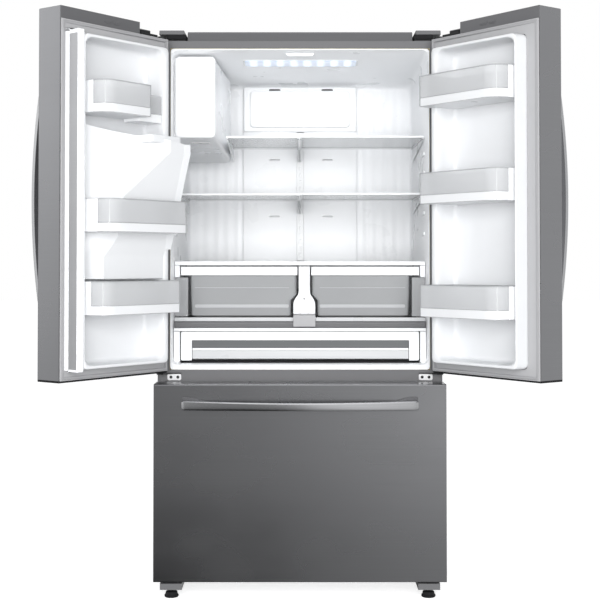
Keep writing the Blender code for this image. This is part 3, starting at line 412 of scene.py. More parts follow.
def carved(mesh, cutters, operation="DIFFERENCE"):
    """The mesh less the cutters, or with another Boolean of them."""
    base = bpy.data.objects.new("carved", mesh)
    bpy.context.scene.collection.objects.link(base)
    tools = []
    for cutter in cutters:
        tool = bpy.data.objects.new("cutter", cutter)
        bpy.context.scene.collection.objects.link(tool)
        modifier = base.modifiers.new("cut", "BOOLEAN")
        modifier.operation = operation
        modifier.solver = "EXACT"
        modifier.object = tool
        tools.append(tool)
    bpy.context.view_layer.update()
    evaluated = base.evaluated_get(bpy.context.evaluated_depsgraph_get())
    result = bpy.data.meshes.new_from_object(evaluated)
    for item in tools + [base]:
        bpy.data.objects.remove(item)
    return result


# ---------------------------------------------------------------- pieces

def round_edges(shown, width, segments=2):
    """Rounds a piece's sharp edges and smooths its shading."""
    modifier = shown.modifiers.new("round_edges", "BEVEL")
    modifier.width = width
    modifier.segments = segments
    modifier.limit_method = "ANGLE"
    modifier.angle_limit = math.radians(SHARP_ANGLE)
    modifier.harden_normals = True


def piece(name, mesh, finish, body="cabinet", nodes=(), place=None, edge=0.0,
          segments=2):
    """Shown piece that rides on a body and stands for the CAD nodes it replaces."""
    mesh.name = name
    mesh.materials.clear()
    mesh.materials.append(FINISH[finish])
    mesh.shade_smooth()
    mesh.set_sharp_from_angle(angle=math.radians(SMOOTH_ANGLE))
    shown = bpy.data.objects.new(name, mesh)
    bpy.context.scene.collection.objects.link(shown)
    if place:
        shown.matrix_world = place
    if edge:
        round_edges(shown, edge, segments)
    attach(shown, body)
    if nodes:
        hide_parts(*nodes)
    return shown


def keep_node(node, finish, edge=0.0):
    """Carries a CAD node over with a finish, and rounds its edges."""
    shown = NODES[node]
    shown.data.materials.clear()
    shown.data.materials.append(FINISH[finish])
    if edge:
        round_edges(shown, edge)


# ---------------------------------------------------------------- materials

class Finish:
    """Principled material whose colour, roughness and grain come from noise in its own space."""

    def __init__(self, name, colour, roughness, metallic=0.0):
        self.material = bpy.data.materials.new(name)
        self.material.use_nodes = True
        self.tree = self.material.node_tree
        self.shader = self.tree.nodes["Principled BSDF"]
        self.shader.inputs["Metallic"].default_value = metallic
        self.shader.inputs["Roughness"].default_value = roughness
        self.colour = colour
        self.roughness = roughness
        self.coordinates = self.tree.nodes.new("ShaderNodeTexCoord")

    def noise(self, stretch, detail=3.0):
        """Noise stretched along the axes."""
        mapping = self.tree.nodes.new("ShaderNodeMapping")
        mapping.inputs["Scale"].default_value = stretch
        noise = self.tree.nodes.new("ShaderNodeTexNoise")
        noise.inputs["Scale"].default_value = 1.0
        noise.inputs["Detail"].default_value = detail
        self.tree.links.new(self.coordinates.outputs["Object"], mapping.inputs["Vector"])
        self.tree.links.new(mapping.outputs["Vector"], noise.inputs["Vector"])
        return noise.outputs["Fac"]

    def vary_colour(self, source, amount):
        """Lets noise darken and lighten the colour by a share."""
        mix = self.tree.nodes.new("ShaderNodeMix")
        mix.data_type = "RGBA"
        mix.inputs["A"].default_value = (*[c * (1 - amount) for c in self.colour], 1)
        mix.inputs["B"].default_value = (*[min(c * (1 + amount), 1) for c in self.colour], 1)
        self.tree.links.new(source, mix.inputs["Factor"])
        self.tree.links.new(mix.outputs["Result"], self.shader.inputs["Base Color"])
        return self

    def vary_roughness(self, source, amount):
        """Lets noise move the roughness either way by an amount."""
        spread = self.tree.nodes.new("ShaderNodeMapRange")
        spread.inputs["From Min"].default_value = 0.25
        spread.inputs["From Max"].default_value = 0.75
        spread.inputs["To Min"].default_value = max(self.roughness - amount, 0.02)
        spread.inputs["To Max"].default_value = self.roughness + amount
        self.tree.links.new(source, spread.inputs["Value"])
        self.tree.links.new(spread.outputs["Result"], self.shader.inputs["Roughness"])
        return self

    def grain(self, source, height, strength=0.5):
        """Bump from noise, as high as stated."""
        bump = self.tree.nodes.new("ShaderNodeBump")
        bump.inputs["Strength"].default_value = strength
        bump.inputs["Distance"].default_value = height
        self.tree.links.new(source, bump.inputs["Height"])
        self.tree.links.new(bump.outputs["Normal"], self.shader.inputs["Normal"])
        return self

    def set(self, **values):
        """Constant values straight on the shader's sockets."""
        for socket, value in values.items():
            self.shader.inputs[socket.replace("_", " ")].default_value = value
        return self


def moulded(name, colour, roughness, grain_size=0.0012, grain_height=0.00006):
    """Moulded plastic: a fine texture, faint cloudiness and uneven gloss."""
    finish = Finish(name, colour, roughness)
    fine = finish.noise((1 / grain_size,) * 3, 2.0)
    broad = finish.noise((9.0, 9.0, 9.0))
    return finish.vary_colour(broad, 0.02).vary_roughness(broad, 0.05).grain(fine, grain_height, 0.25)


def brushed(name, colour, roughness, along=2.5, across=1400.0):
    """Sheet metal brushed along x and y, so its lines lie level on every upright face."""
    finish = Finish(name, colour, roughness, 1.0)
    lines = finish.noise((along, along, across), 4.0)
    broad = finish.noise((3.0, 3.0, 5.0))
    finish.vary_colour(lines, 0.10).vary_roughness(broad, 0.05).grain(lines, 0.00004, 0.35)
    return finish


def make_finishes():
    """Every material, by name."""
    found = {
        "steel": brushed("dark_stainless", (0.34, 0.34, 0.35), 0.27),
        "handle_steel": brushed("handle_stainless", (0.56, 0.56, 0.57), 0.24),
        "paint": moulded("case_paint", (0.14, 0.14, 0.145), 0.42, 0.0006, 0.00010),
        "white": moulded("white_plastic", (0.91, 0.92, 0.935), 0.30),
        # Door liner white: the cabinet's white plastic painted darker, as painted shade, because the doors
        # catch more of the lamps' light
        "door_white_painted_shade": moulded("door_liner_plastic_painted_shade", (0.74, 0.75, 0.765), 0.32),
        "white_gloss": moulded("white_gloss_plastic", (0.87, 0.88, 0.89), 0.16),
        "border": moulded("grey_border", (0.40, 0.40, 0.41), 0.45),
        "sill": moulded("window_sill", (0.56, 0.57, 0.58), 0.30),
        "zinc": moulded("zinc_plate", (0.72, 0.72, 0.73), 0.30, 0.0006, 0.00005),
        "rubber": moulded("gasket_rubber", (0.33, 0.33, 0.34), 0.62, 0.0008, 0.00012),
        "clear": moulded("clear_plastic", (0.70, 0.71, 0.725), 0.10),
        # Pale, half clear rib: its light colour paints the highlight on a bin's round corner
        "bead": moulded("clear_bead_painted_highlight", (0.92, 0.93, 0.94), 0.10),
        "clear_rim": moulded("clear_rim", (0.42, 0.43, 0.44), 0.12),
        "smoke": moulded("smoke_plastic", (0.50, 0.51, 0.52), 0.10),
        "window": moulded("pantry_window", (0.16, 0.165, 0.17), 0.10),
        "glass": moulded("shelf_glass", (0.50, 0.52, 0.53), 0.06, 0.004, 0.00001),
        "dark": moulded("dark_plastic", (0.085, 0.085, 0.09), 0.38),
        "deck": moulded("deck_plastic", (0.15, 0.15, 0.155), 0.36),
        "trim": moulded("trim_plastic", (0.10, 0.10, 0.105), 0.42),
        "black": moulded("black_plastic", (0.012, 0.012, 0.013), 0.45),
        "black_steel": moulded("black_enamel", (0.016, 0.016, 0.017), 0.28, 0.0009, 0.00005),
        "grey_metal": brushed("mullion_plate", (0.60, 0.60, 0.61), 0.45),
        "hinge": brushed("plated_steel", (0.74, 0.74, 0.75), 0.24, 60.0, 400.0),
        "fins": brushed("fin_aluminium", (0.72, 0.72, 0.73), 0.38, 5.0, 600.0),
        "copper": brushed("copper_tube", (0.66, 0.30, 0.16), 0.28, 40.0, 300.0),
        "foam": moulded("insulation_foam", (0.80, 0.70, 0.42), 0.90, 0.0025, 0.0006),
    }
    found["clear"].set(Alpha=0.50, Specular_IOR_Level=0.6)
    found["clear_rim"].set(Alpha=0.80)
    found["bead"].set(Alpha=0.45)
    found["black"].set(Specular_IOR_Level=0.2)
    found["smoke"].set(Alpha=0.50, Specular_IOR_Level=0.6)
    found["window"].set(Alpha=0.85)
    found["glass"].set(Alpha=0.55, Specular_IOR_Level=0.6)
    found["white_gloss"].set(Coat_Weight=0.3)
    return {name: finish.material for name, finish in found.items()}


def lamp_material(spacing):
    """Lens lit from behind by a row of diodes: bright spots in a pale blue film."""
    material = bpy.data.materials.new("lamp_lens")
    material.use_nodes = True
    tree = material.node_tree
    shader = tree.nodes["Principled BSDF"]
    shader.inputs["Base Color"].default_value = (0.62, 0.70, 0.84, 1)
    shader.inputs["Roughness"].default_value = 0.25
    shader.inputs["Emission Color"].default_value = (0.80, 0.88, 1.0, 1)
    coordinates = tree.nodes.new("ShaderNodeTexCoord")
    wave = tree.nodes.new("ShaderNodeTexWave")
    wave.inputs["Scale"].default_value = math.tau / 20 / spacing
    wave.inputs["Distortion"].default_value = 0.6
    ramp = tree.nodes.new("ShaderNodeMapRange")
    ramp.inputs["From Min"].default_value = 0.2
    ramp.inputs["From Max"].default_value = 1.0
    ramp.inputs["To Min"].default_value = 0.25
    ramp.inputs["To Max"].default_value = 0.75
    tree.links.new(coordinates.outputs["Object"], wave.inputs["Vector"])
    tree.links.new(wave.outputs["Fac"], ramp.inputs["Value"])
    tree.links.new(ramp.outputs["Result"], shader.inputs["Emission Strength"])
    return material


FINISH = make_finishes()
FINISH["lamp"] = lamp_material(DIODE_SPACING)


# ---------------------------------------------------------------- doors: places and outlines

def door_place(side, word):
    """Matrix from a door's coordinates to the frame, with the door where it rests."""
    joint = JOINTS[f"{word}_door_hinge"]
    pivot = Vector((joint["pos_m"][0], joint["pos_m"][1], 0))
    opening = -math.radians(joint["range_deg"][0])
    corner = Vector((side * HALF_WIDTH, INNER_FACE, 0))
    return (Matrix.Translation(pivot) @ Matrix.Rotation(opening, 4, Vector(joint["axis"]))
            @ Matrix.Translation(corner - pivot))


def in_door(side, outline):
    """Door outline (s, p) or (s, z) in the door's own x, which runs the other way on the right."""
    return [(-side * s, v) for s, v in outline]


def door_prism(side, outline, low, high):
    """Upright solid of a plan (s, p)."""
    return prism(in_door(side, outline), "Z", low, high)


def door_block(side, s, p, z):
    """Box in a door's coordinates."""
    return door_prism(side, rectangle(*s, *p), *z)


def window(grow, corner):
    """Outline of the dispenser's opening, drawn in from its edge."""
    return rounded(WINDOW_S[0] + grow, WINDOW_S[1] - grow, WINDOW_Z[0] + grow, WINDOW_Z[1] - grow, corner)


def build_door_skin(side, word, place):
    """Steel wrap of a door, its plastic caps, and the grey border that its gasket sits on."""
    outside = softened([(0, -0.004, 0.002), (0, -DOOR_THICKNESS, DOOR_EDGE),
                        (DOOR_WIDTH, -DOOR_THICKNESS, DOOR_EDGE), (DOOR_WIDTH, -0.004, 0.002)])
    wrap = door_prism(side, outside, DOOR_BOTTOM + BOTTOM_CAP + GAP, DOOR_TOP - 0.0010)
    above = (CAP_LOW - GAP, DOOR_TOP + 0.01)
    hollow = softened([(SKIN, SKIN - DOOR_THICKNESS, 0.006),
                       (DOOR_WIDTH - SKIN, SKIN - DOOR_THICKNESS, 0.006),
                       (DOOR_WIDTH - SKIN, 0.01, 0), (SKIN, 0.01, 0)])
    cutters = [door_block(side, LINER_ROOM_S, (-0.0305, 0.01), LINER_ROOM_Z),
               door_prism(side, hollow, *above),
               door_block(side, (-0.01, NOTCH_WIDTH), (NOTCH_P, 0.02), above)]
    if side < 0:
        cutters.append(prism(in_door(side, window(0, 0.004)), "Y", -0.12, -0.032))
    piece(f"{word}_door_skin", carved(wrap, cutters), "steel", f"{word}_door",
          [f"{word}_door_panel"], place, edge=0.0008)
    build_door_caps(side, word, place, outside)
    border = door_block(side, (0.0015, DOOR_WIDTH - 0.0015), (-0.0036, 0),
                        (DOOR_BOTTOM + BOTTOM_CAP, CAP_LOW - 0.0006))
    opening = rounded(DIKE_S[0] - 0.001, DIKE_S[1] + 0.001, DIKE_Z[0] - 0.001, DIKE_Z[1] + 0.001,
                      DIKE_CORNER)
    border = carved(border, [prism(in_door(side, opening), "Y", -0.02, 0.02)])
    piece(f"{word}_door_border", border, "border", f"{word}_door", place=place, edge=0.0007)


def build_door_caps(side, word, place, outside):
    """Caps at a door's top and bottom. The top one is notched for the hinge and has two plugs."""
    near = SKIN + GAP
    far = DOOR_WIDTH - near
    front = near - DOOR_THICKNESS
    notched = softened([(NOTCH_WIDTH, -0.004, 0.002), (NOTCH_WIDTH, NOTCH_P, 0.003),
                        (near, NOTCH_P, 0.002), (near, front, 0.006), (far, front, 0.006),
                        (far, -0.004, 0.002)])
    top = slab(in_door(side, notched), "Z", CAP_LOW, DOOR_TOP, 0.0012)
    piece(f"{word}_door_top_cap", top, "trim", f"{word}_door", place=place)
    plugs = []
    for centre in PLUG_S:
        oval = [(u * 1.45 + centre, v * 0.62 + (CAP_LOW + DOOR_TOP) / 2 - 0.001)
                for u, v in arc((0, 0), 0.0115, 0, 352, 44)]
        plugs.append(slab(in_door(side, oval), "Y", -0.0045, -0.0030, 0.0008))
        plugs.append(slab(in_door(side, inset(oval, 0.0030)), "Y", -0.0032, -0.0024, 0.0006))
    piece(f"{word}_door_plugs", joined(plugs), "trim", f"{word}_door", place=place)
    bottom = slab(in_door(side, outside), "Z", DOOR_BOTTOM + BOTTOM_CAP, DOOR_BOTTOM, 0.0015)
    pin_bore = turned([(DOOR_BOTTOM - 0.01, 0.0072), (DOOR_BOTTOM + 0.02, 0.0072)], "Z",
                      (-side * PIN_S, PIN_P))
    piece(f"{word}_door_bottom_cap", carved(bottom, [pin_bore]), "black", f"{word}_door",
          place=place, edge=0.0006)
    build_hinge_strap(side, word, place)


def build_hinge_strap(side, word, place):
    """Black hinge strap in the notch of a door's top, with its screws."""
    outline = softened([(0.036, -0.074, 0.004), (0.118, -0.074, 0.004), (0.118, -0.008, 0.006),
                        (0.036, -0.008, 0.012)])
    strap = slab(in_door(side, outline), "Z", CAP_LOW + GAP, CAP_LOW + 0.0090, 0.001)
    step = slab(in_door(side, rounded(0.070, 0.112, -0.060, -0.012, 0.006)), "Z", CAP_LOW + 0.0089,
                CAP_LOW + 0.0170, 0.001)
    screws = [dome((-side * s, p, CAP_LOW + top - 0.0001), "Z", 1, 0.0042, 0.0020)
              for s, p, top in ((0.054, -0.022, 0.0090), (0.094, -0.026, 0.0170), (0.094, -0.046, 0.0170))]
    piece(f"{word}_hinge_strap", joined([strap, step] + screws), "black", f"{word}_door",
          place=place)


def dike_ring(side, grow, lean, p):
    """Round-cornered ring about the raised wall of a door's liner, at a height p.

    The wall is thinner and lower along the free side.
    """
    corner = DIKE_CORNER + (RECESS_CORNER - DIKE_CORNER) * smoothstep(0.002, 0.014, grow)
    outline = rounded(DIKE_S[0] + lean + grow, DIKE_S[1] - grow * DIKE_FREE_SHARE, DIKE_Z[0] + grow * 0.8,
                      DIKE_Z[1] - grow * 0.8, corner, 8)
    points = []
    for s, z in outline:
        drop = DIKE_DROP * smoothstep(0.30, 0.39, s) * max(p, 0) / DIKE_HEIGHT
        points.append((-side * s, p - drop, z))
    return points


def build_door_liner(side, word, place):
    """Moulded liner: a wall that rises all round, and the shallow recess inside it."""
    rings = [dike_ring(side, 0.002, 0, -0.0285), dike_ring(side, 0.002, 0, -0.003),
             dike_ring(side, 0, 0, 0.001)]
    for level in range(1, 5):
        share = level / 5
        rings.append(dike_ring(side, 0.0015 * share, DIKE_LEAN * share, DIKE_HEIGHT * share))
    for step in range(7):
        angle = math.radians(30 * step)
        share = (1 - math.cos(angle)) / 2
        rings.append(dike_ring(side, 0.0015 + 0.012 * share,
                               DIKE_LEAN + (DIKE_INNER_LEAN - DIKE_LEAN) * share,
                               DIKE_HEIGHT - 0.005 + 0.005 * math.sin(angle)))
    rings.append(dike_ring(side, DIKE_WALL, DIKE_INNER_LEAN, 0.030))
    cove = 0.014
    for step in range(6):
        angle = math.radians(18 * step)
        rings.append(dike_ring(side, DIKE_WALL + cove * (1 - math.cos(angle)), DIKE_INNER_LEAN,
                               RECESS_P + cove * (1 - math.sin(angle))))
    piece(f"{word}_door_liner_dike", loft(rings), "door_white_painted_shade", f"{word}_door",
          nodes=[f"{word}_door_liner"], place=place)


def build_door_gasket(side, word, place):
    """Gasket of soft rubber: a flat foot, a bellows fold and the magnet's bead."""
    outline = rounded(*GASKET_S, DOOR_BOTTOM + 0.0085, CAP_LOW - 0.004, 0.006)
    rings = []
    for across, rise in GASKET_PROFILE:
        points = []
        for s, z in inset(outline, across):
            share = GASKET_FREE_SHARE if s > GASKET_FREE_S else 1.0
            points.append((-side * s, rise * share, z))
        rings.append(points)
    piece(f"{word}_door_gasket_bellows", loft(rings, looped=True), "rubber", f"{word}_door",
          [f"{word}_door_gasket"], place)


# ---------------------------------------------------------------- ice chute housing

def chute_share(height):
    """How far down its taper the housing is: 0 at the shoulder and 1 at the foot."""
    return min(max((CHUTE_SHOULDER - height) / (CHUTE_SHOULDER - CHUTE_FOOT), 0.0), 1.0)


def chute_edge(height):
    """How far the housing stands out at its hinge-side edge."""
    return CHUTE_EDGE - CHUTE_EDGE_DROP * chute_share(height)


def chute_crease(share):
    """Where (s, p) the housing's two faces meet, at a share of the taper."""
    for (upper, *above), (lower, *below) in zip(CHUTE_CREASE, CHUTE_CREASE[1:]):
        if share <= lower:
            along = (share - upper) / (lower - upper)
            return tuple(high + (low - high) * along for high, low in zip(above, below))
    return CHUTE_CREASE[-1][1:]


def chute_front(height, columns=6):
    """Plan (s, p) of the housing's front: a hollow sweep up to a crease, then a flat face."""
    share = chute_share(height)
    crease = chute_crease(share)
    start = (CHUTE_FREE_S, 0.024 - 0.040 * share)
    points = []
    for column in range(columns + 1):
        along = column / columns
        points.append((start[0] + (crease[0] - start[0]) * along,
                       start[1] + (crease[1] - start[1]) * along * along))
    return points + [(RECESS_S[0] + 0.001, chute_edge(height) - 0.004)]


def chute_rise(s, height):
    """How far the housing stands out at a place along the door."""
    front = chute_front(height)
    for (far_s, far_p), (near_s, near_p) in zip(front, front[1:]):
        if near_s <= s <= far_s:
            return near_p + (far_p - near_p) * (s - near_s) / (far_s - near_s)
    return front[0][1] if s > front[0][0] else front[-1][1]


def build_chute(place):
    """White housing of the ice chute: it tapers down, and its hollow face turns at a crease."""
    levels = 26
    base = RECESS_P + 0.002
    heights = [CHUTE_BOTTOM]
    heights += [CHUTE_FOOT + (CHUTE_SHOULDER - CHUTE_FOOT) * level / levels for level in range(levels + 1)]
    heights.append(CHUTE_TOP)
    rings = []
    for height in heights:
        plan = [(CHUTE_FREE_S, base)] + chute_front(height, 18) + [(RECESS_S[0] + 0.001, base)]
        climb = CHUTE_TOP_SLOPE if height == CHUTE_TOP else 0
        rings.append([(s, p, height + climb * (s - RECESS_S[0])) for s, p in plan])
    body = loft(rings)
    rim = DIKE_HEIGHT + 0.001
    near, far = CHUTE_WING_S
    wing = []
    for height in heights[1:]:
        edge = chute_edge(height)
        if edge - 0.0045 < rim:
            continue
        plan = [(near, rim), (far, rim), (far, edge - 0.0035), (near, edge)]
        wing.append(ring(in_door(-1, plan), "Z", height))
    whole = carved(body, [loft(wing)], "UNION")
    piece("ice_chute_body", whole, "door_white_painted_shade", "left_door", nodes=["ice_chute_housing"], place=place,
          edge=0.0025, segments=3)
    collar = rounded(*CHUTE_COLLAR, 0.020, 8)
    funnel = loft([ring(in_door(-1, collar), "Z", CHUTE_TOP + GAP),
                   ring(in_door(-1, collar), "Z", CHUTE_TOP + 0.022),
                   ring(in_door(-1, inset(collar, 0.006)), "Z", CHUTE_TOP + 0.022),
                   ring(in_door(-1, inset(collar, 0.016)), "Z", CHUTE_TOP + 0.001)])
    piece("ice_chute_collar", funnel, "door_white_painted_shade", "left_door", place=place, edge=0.002)


# ---------------------------------------------------------------- bins

def door_box(node, place):
    """Limits (low, high) of a CAD node in its door's coordinates."""
    back = place.inverted()
    points = [back @ vertex.co for vertex in NODES[node].data.vertices]
    low = Vector(min(point[axis] for point in points) for axis in range(3))
    high = Vector(max(point[axis] for point in points) for axis in range(3))
    return low, high


def bin_plan(start, end, reach, low, high, before_chute):
    """Plan (s, p) of a bin: its free-side corner is wide, and its back clears what is behind."""
    front = [(end, reach, BIN_CORNER), (start, reach, BIN_SMALL_CORNER)]
    if before_chute:
        back = []
        for column in range(9):
            s = RECESS_S[0] + (end - RECESS_S[0]) * column / 8
            highest = max(chute_rise(s, low + (high - low) * level / 4) for level in range(5))
            back.append((s, highest + CHUTE_CLEARANCE, 0))
        return softened([(start, chute_edge(high) + CHUTE_CLEARANCE, 0)] + back + front, 8)
    if start > RECESS_S[0]:
        return softened([(start, BIN_BACK_P, 0.004), (end, BIN_BACK_P, 0.004)] + front, 8)
    rim = DIKE_HEIGHT + 0.001
    inner = RECESS_S[0] + 0.001
    return softened([(start, rim, 0), (inner, rim, 0), (inner, BIN_BACK_P, 0.004),
                     (end, BIN_BACK_P, 0.004)] + front, 8)


def build_bin(side, word, level, place):
    """Door bin: a white pan, clear walls above it with beaded edges, and a white end bracket. The pale bead
    at the round corner paints that corner's highlight, and a dark line under the pan paints its shadow.
    """
    node = f"{word}_bin_{level}"
    low, high = door_box(node, place)
    start = min(abs(low.x), abs(high.x))
    small = start > RECESS_S[0]
    end_s = SMALL_BIN_END if small else BIN_END
    reach = high.y
    before_chute = side < 0 and level == "middle"
    outline = in_door(side, bin_plan(start, end_s, reach, low.z, high.z, before_chute))
    band = low.z + (high.z - low.z) * BIN_BASE_SHARE
    body = f"{word}_door"
    # The pan takes the door's white, which is painted darker as shade
    pan = tray(outline, "Z", low.z, band, BIN_WALL)
    piece(f"{node}_pan", pan, "door_white_painted_shade", body, place=place, edge=0.0010)
    walls = hoop(inset(outline, 0.0006), "Z", band + 0.0018, high.z - 0.0030, BIN_WALL - 0.0008)
    piece(f"{node}_walls", walls, "clear", body, [node], place)
    edges = [hoop(outline, "Z", high.z - 0.0028, high.z, BIN_WALL),
             hoop(inset(outline, 0.0003), "Z", band + GAP, band + 0.0016, BIN_WALL),
             door_block(side, (start - 0.0004, start + 0.0014), (reach - 0.0018, reach + 0.0004),
                        (low.z + 0.002, high.z - 0.0005)),
             door_block(side, (start - 0.0006, start - 0.0001), (max(0.060, reach - 0.040), reach - 0.0020),
                        (low.z + 0.002, low.z + 0.0034))]
    # A moulded bead at the corner, pale so that it paints the corner's highlight
    highlight_bead_at = (-side * (end_s - BIN_CORNER / 4 - 0.0006), reach - BIN_CORNER / 4 - 0.0006)
    bead = turned([(low.z + 0.002, 0.0016), (high.z - 0.0034, 0.0016)], "Z", highlight_bead_at, 12)
    piece(f"{node}_bead", bead, "bead", body, place=place)
    # Thin dark line round the pan's foot: painted shadow beneath the pan
    painted_shadow_line = hoop(inset(outline, -0.0004), "Z", low.z + 0.0002, low.z + 0.0016, 0.0010)
    piece(f"{node}_seam", painted_shadow_line, "rubber", body, place=place)
    piece(f"{node}_rim", joined(edges), "clear_rim", body, place=place, edge=0.0005)
    deep = 0.030 if before_chute else BIN_BACK_P + 0.002
    end = door_block(side, (end_s + 0.0002, end_s + 0.0022), (deep, reach - BIN_CORNER + 0.006),
                     (low.z + 0.001, high.z - 0.001))
    piece(f"{node}_end", end, "white", body, place=place, edge=0.0006)
    if small:
        build_bin_extension(side, word, node, start, low.z, high.z, place)


def build_bin_extension(side, word, node, start, low, high, place):
    """Shallow shelf beside the short bin: a white trough under a clear rail."""
    outline = in_door(side, rounded(RECESS_S[0] + 0.0015, start - 0.0008, BIN_BACK_P + 0.001, 0.050, 0.006))
    bottom = low - 0.008
    top = high - 0.020
    middle = bottom + (top - bottom) * 0.30
    piece(f"{node}_side_trough", tray(outline, "Z", bottom, middle, BIN_WALL), "white", f"{word}_door",
          place=place, edge=0.0008)
    piece(f"{node}_side_rail", hoop(inset(outline, 0.0005), "Z", middle + GAP, top, BIN_WALL - 0.0008),
          "clear", f"{word}_door", place=place, edge=0.0004)


# ---------------------------------------------------------------- handles

def handle_rings(length, to_point):
    """Rings along a bowed handle: its ends come down to the face in feet."""
    half = length / 2
    bow = HANDLE_RISE_MIDDLE - HANDLE_RISE_END
    places = [half * (2 * step / 72 - 1) for step in range(73)]
    places += [side * (half - back) for side in (-1, 1) for back in (0.001, 0.003, 0.050, 0.056, 0.060)]
    foot_end, foot_start = HANDLE_FOOT
    rings = []
    for along in sorted(places):
        share = along / half
        outer = HANDLE_RISE_END + bow * (1 - share * share)
        lifted = 1 - smoothstep(half - foot_start, half - foot_end, abs(along))
        inner = max((outer - HANDLE_THICKNESS) * lifted, GAP)
        round_off = 0.0025 * smoothstep(half - 0.004, half, abs(along))
        wide = HANDLE_HALF_MIDDLE + (HANDLE_HALF_END - HANDLE_HALF_MIDDLE) * share * share
        section = softened([(-wide + round_off, inner, 0.0012), (wide - round_off, inner, 0.0012),
                            (wide - round_off, outer - round_off, 0.0055),
                            (-wide + round_off, outer - round_off, 0.0055)], 4)
        rings.append([to_point(along, across, rise) for across, rise in section])
    return rings


def build_door_handle(word, place):
    """Upright bowed handle near a door's free side."""
    low, high = door_box(f"{word}_door_handle", place)
    centre_z = (low.z + high.z) / 2
    centre_x = (low.x + high.x) / 2
    rings = handle_rings(high.z - low.z, lambda along, across, rise: (
        centre_x + across, -DOOR_THICKNESS - rise, centre_z + along))
    piece(f"{word}_handle_bar", loft(rings), "handle_steel", f"{word}_door",
          [f"{word}_door_handle"], place)


def build_freezer_handle():
    """Level bowed handle of the freezer drawer, with the feet that hold it off the front."""
    low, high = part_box("freezer_handle")
    centre_z = (low.z + high.z) / 2
    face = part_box("freezer_panel")[0].y
    rings = handle_rings(high.x - low.x, lambda along, across, rise: (
        along, face - rise, centre_z + across))
    piece("freezer_handle_bar", loft(rings), "handle_steel", "freezer_drawer",
          ["freezer_handle"])
    for side, word in SIDES:
        end = side * high.x
        outline = softened([(end - side * 0.001, centre_z - 0.010, 0),
                            (end - side * 0.075, centre_z - 0.010, 0),
                            (end - side * 0.075, centre_z + 0.012, 0.010),
                            (end - side * 0.030, centre_z + 0.0255, 0.020),
                            (end - side * 0.001, centre_z + 0.0255, 0.004)], 5)
        foot = slab(outline, "Y", face - GAP, face - 0.0050, 0.0015)
        piece(f"freezer_handle_foot_{word}", foot, "dark", "freezer_drawer")


# ---------------------------------------------------------------- dispenser and mullion

def build_dispenser(place):
    """Water and ice dispenser in the outer face: bezel, control strip, lined well and spouts."""
    face = -DOOR_THICKNESS
    back = WELL_BACK
    bezel = slab(in_door(-1, rounded(*BEZEL_S, *BEZEL_Z, 0.008)), "Y", face - GAP, face - 0.004, 0.002)
    mouth = prism(in_door(-1, window(0.0035, 0.006)), "Y", face - 0.02, face + 0.01)
    piece("dispenser_bezel", carved(bezel, [mouth]), "dark", "left_door",
          ["dispenser_well"], place, edge=0.0006)
    lining = ((back - 0.003, 0.0008, 0.006), (face, 0.0008, 0.006), (face, 0.0035, 0.006),
              (back - 0.020, 0.0035, 0.006), (back - 0.010, 0.006, 0.010), (back - 0.0055, 0.014, 0.018))
    rings = [ring(in_door(-1, window(grow, corner)), "Y", p) for p, grow, corner in lining]
    piece("dispenser_lining", loft(rings), "black", "left_door", place=place)
    grille_bars = []
    for bar in range(12):
        s = WINDOW_S[0] + 0.022 + bar * 0.0148
        grille_bars.append(door_block(-1, (s, s + 0.006), (face + 0.004, back - 0.012),
                                      (WINDOW_Z[0] + 0.0085, WINDOW_Z[0] + 0.0105)))
    rest = hoop(in_door(-1, rounded(WINDOW_S[0] + 0.012, WINDOW_S[1] - 0.012, face + 0.002,
                                    back - 0.010, 0.006)), "Z", WINDOW_Z[0] + 0.0040,
                WINDOW_Z[0] + 0.0084, 0.004)
    piece("dispenser_grille", joined([rest] + grille_bars), "hinge", "left_door",
          place=place, edge=0.0004)
    middle = sum(WINDOW_S) / 2
    spout = turned([(1.318, 0.016), (1.330, 0.018), (1.374, 0.026)], "Z", (middle, -0.066))
    tap = turned([(1.322, 0.005), (1.326, 0.006), (1.374, 0.008)], "Z", (middle, -0.088), 20)
    piece("dispenser_spouts", joined([spout, tap]), "dark", "left_door", place=place,
          edge=0.0006)
    screen = slab(in_door(-1, rounded(*WINDOW_S, *SCREEN_Z, 0.005)), "Y", face - 0.0040,
                  face - 0.0052, 0.0008)
    piece("dispenser_screen", screen, "black_steel", "left_door", place=place)
    keys = []
    for key in range(KEYS):
        centre = 0.147 + key * 0.039
        keys.append(slab(in_door(-1, rounded(centre - 0.012, centre + 0.012, *KEY_Z, 0.005)),
                         "Y", face - 0.0052, face - 0.0058, 0.0004))
    piece("dispenser_keys", joined(keys), "dark", "left_door", place=place)


def build_paddle(place):
    """Lever that a glass pushes, with a cupped face."""
    low, high = door_box("dispenser_paddle", place)
    outline = rounded(low.x, high.x, low.z, high.z, 0.012)
    cup = slab(outline, "Y", high.y, low.y, 0.002)
    hollow = prism(inset(outline, 0.006), "Y", low.y - 0.005, low.y + 0.002)
    piece("paddle_lever", carved(cup, [hollow]), "black", "paddle", ["dispenser_paddle"],
          place, edge=0.0008)


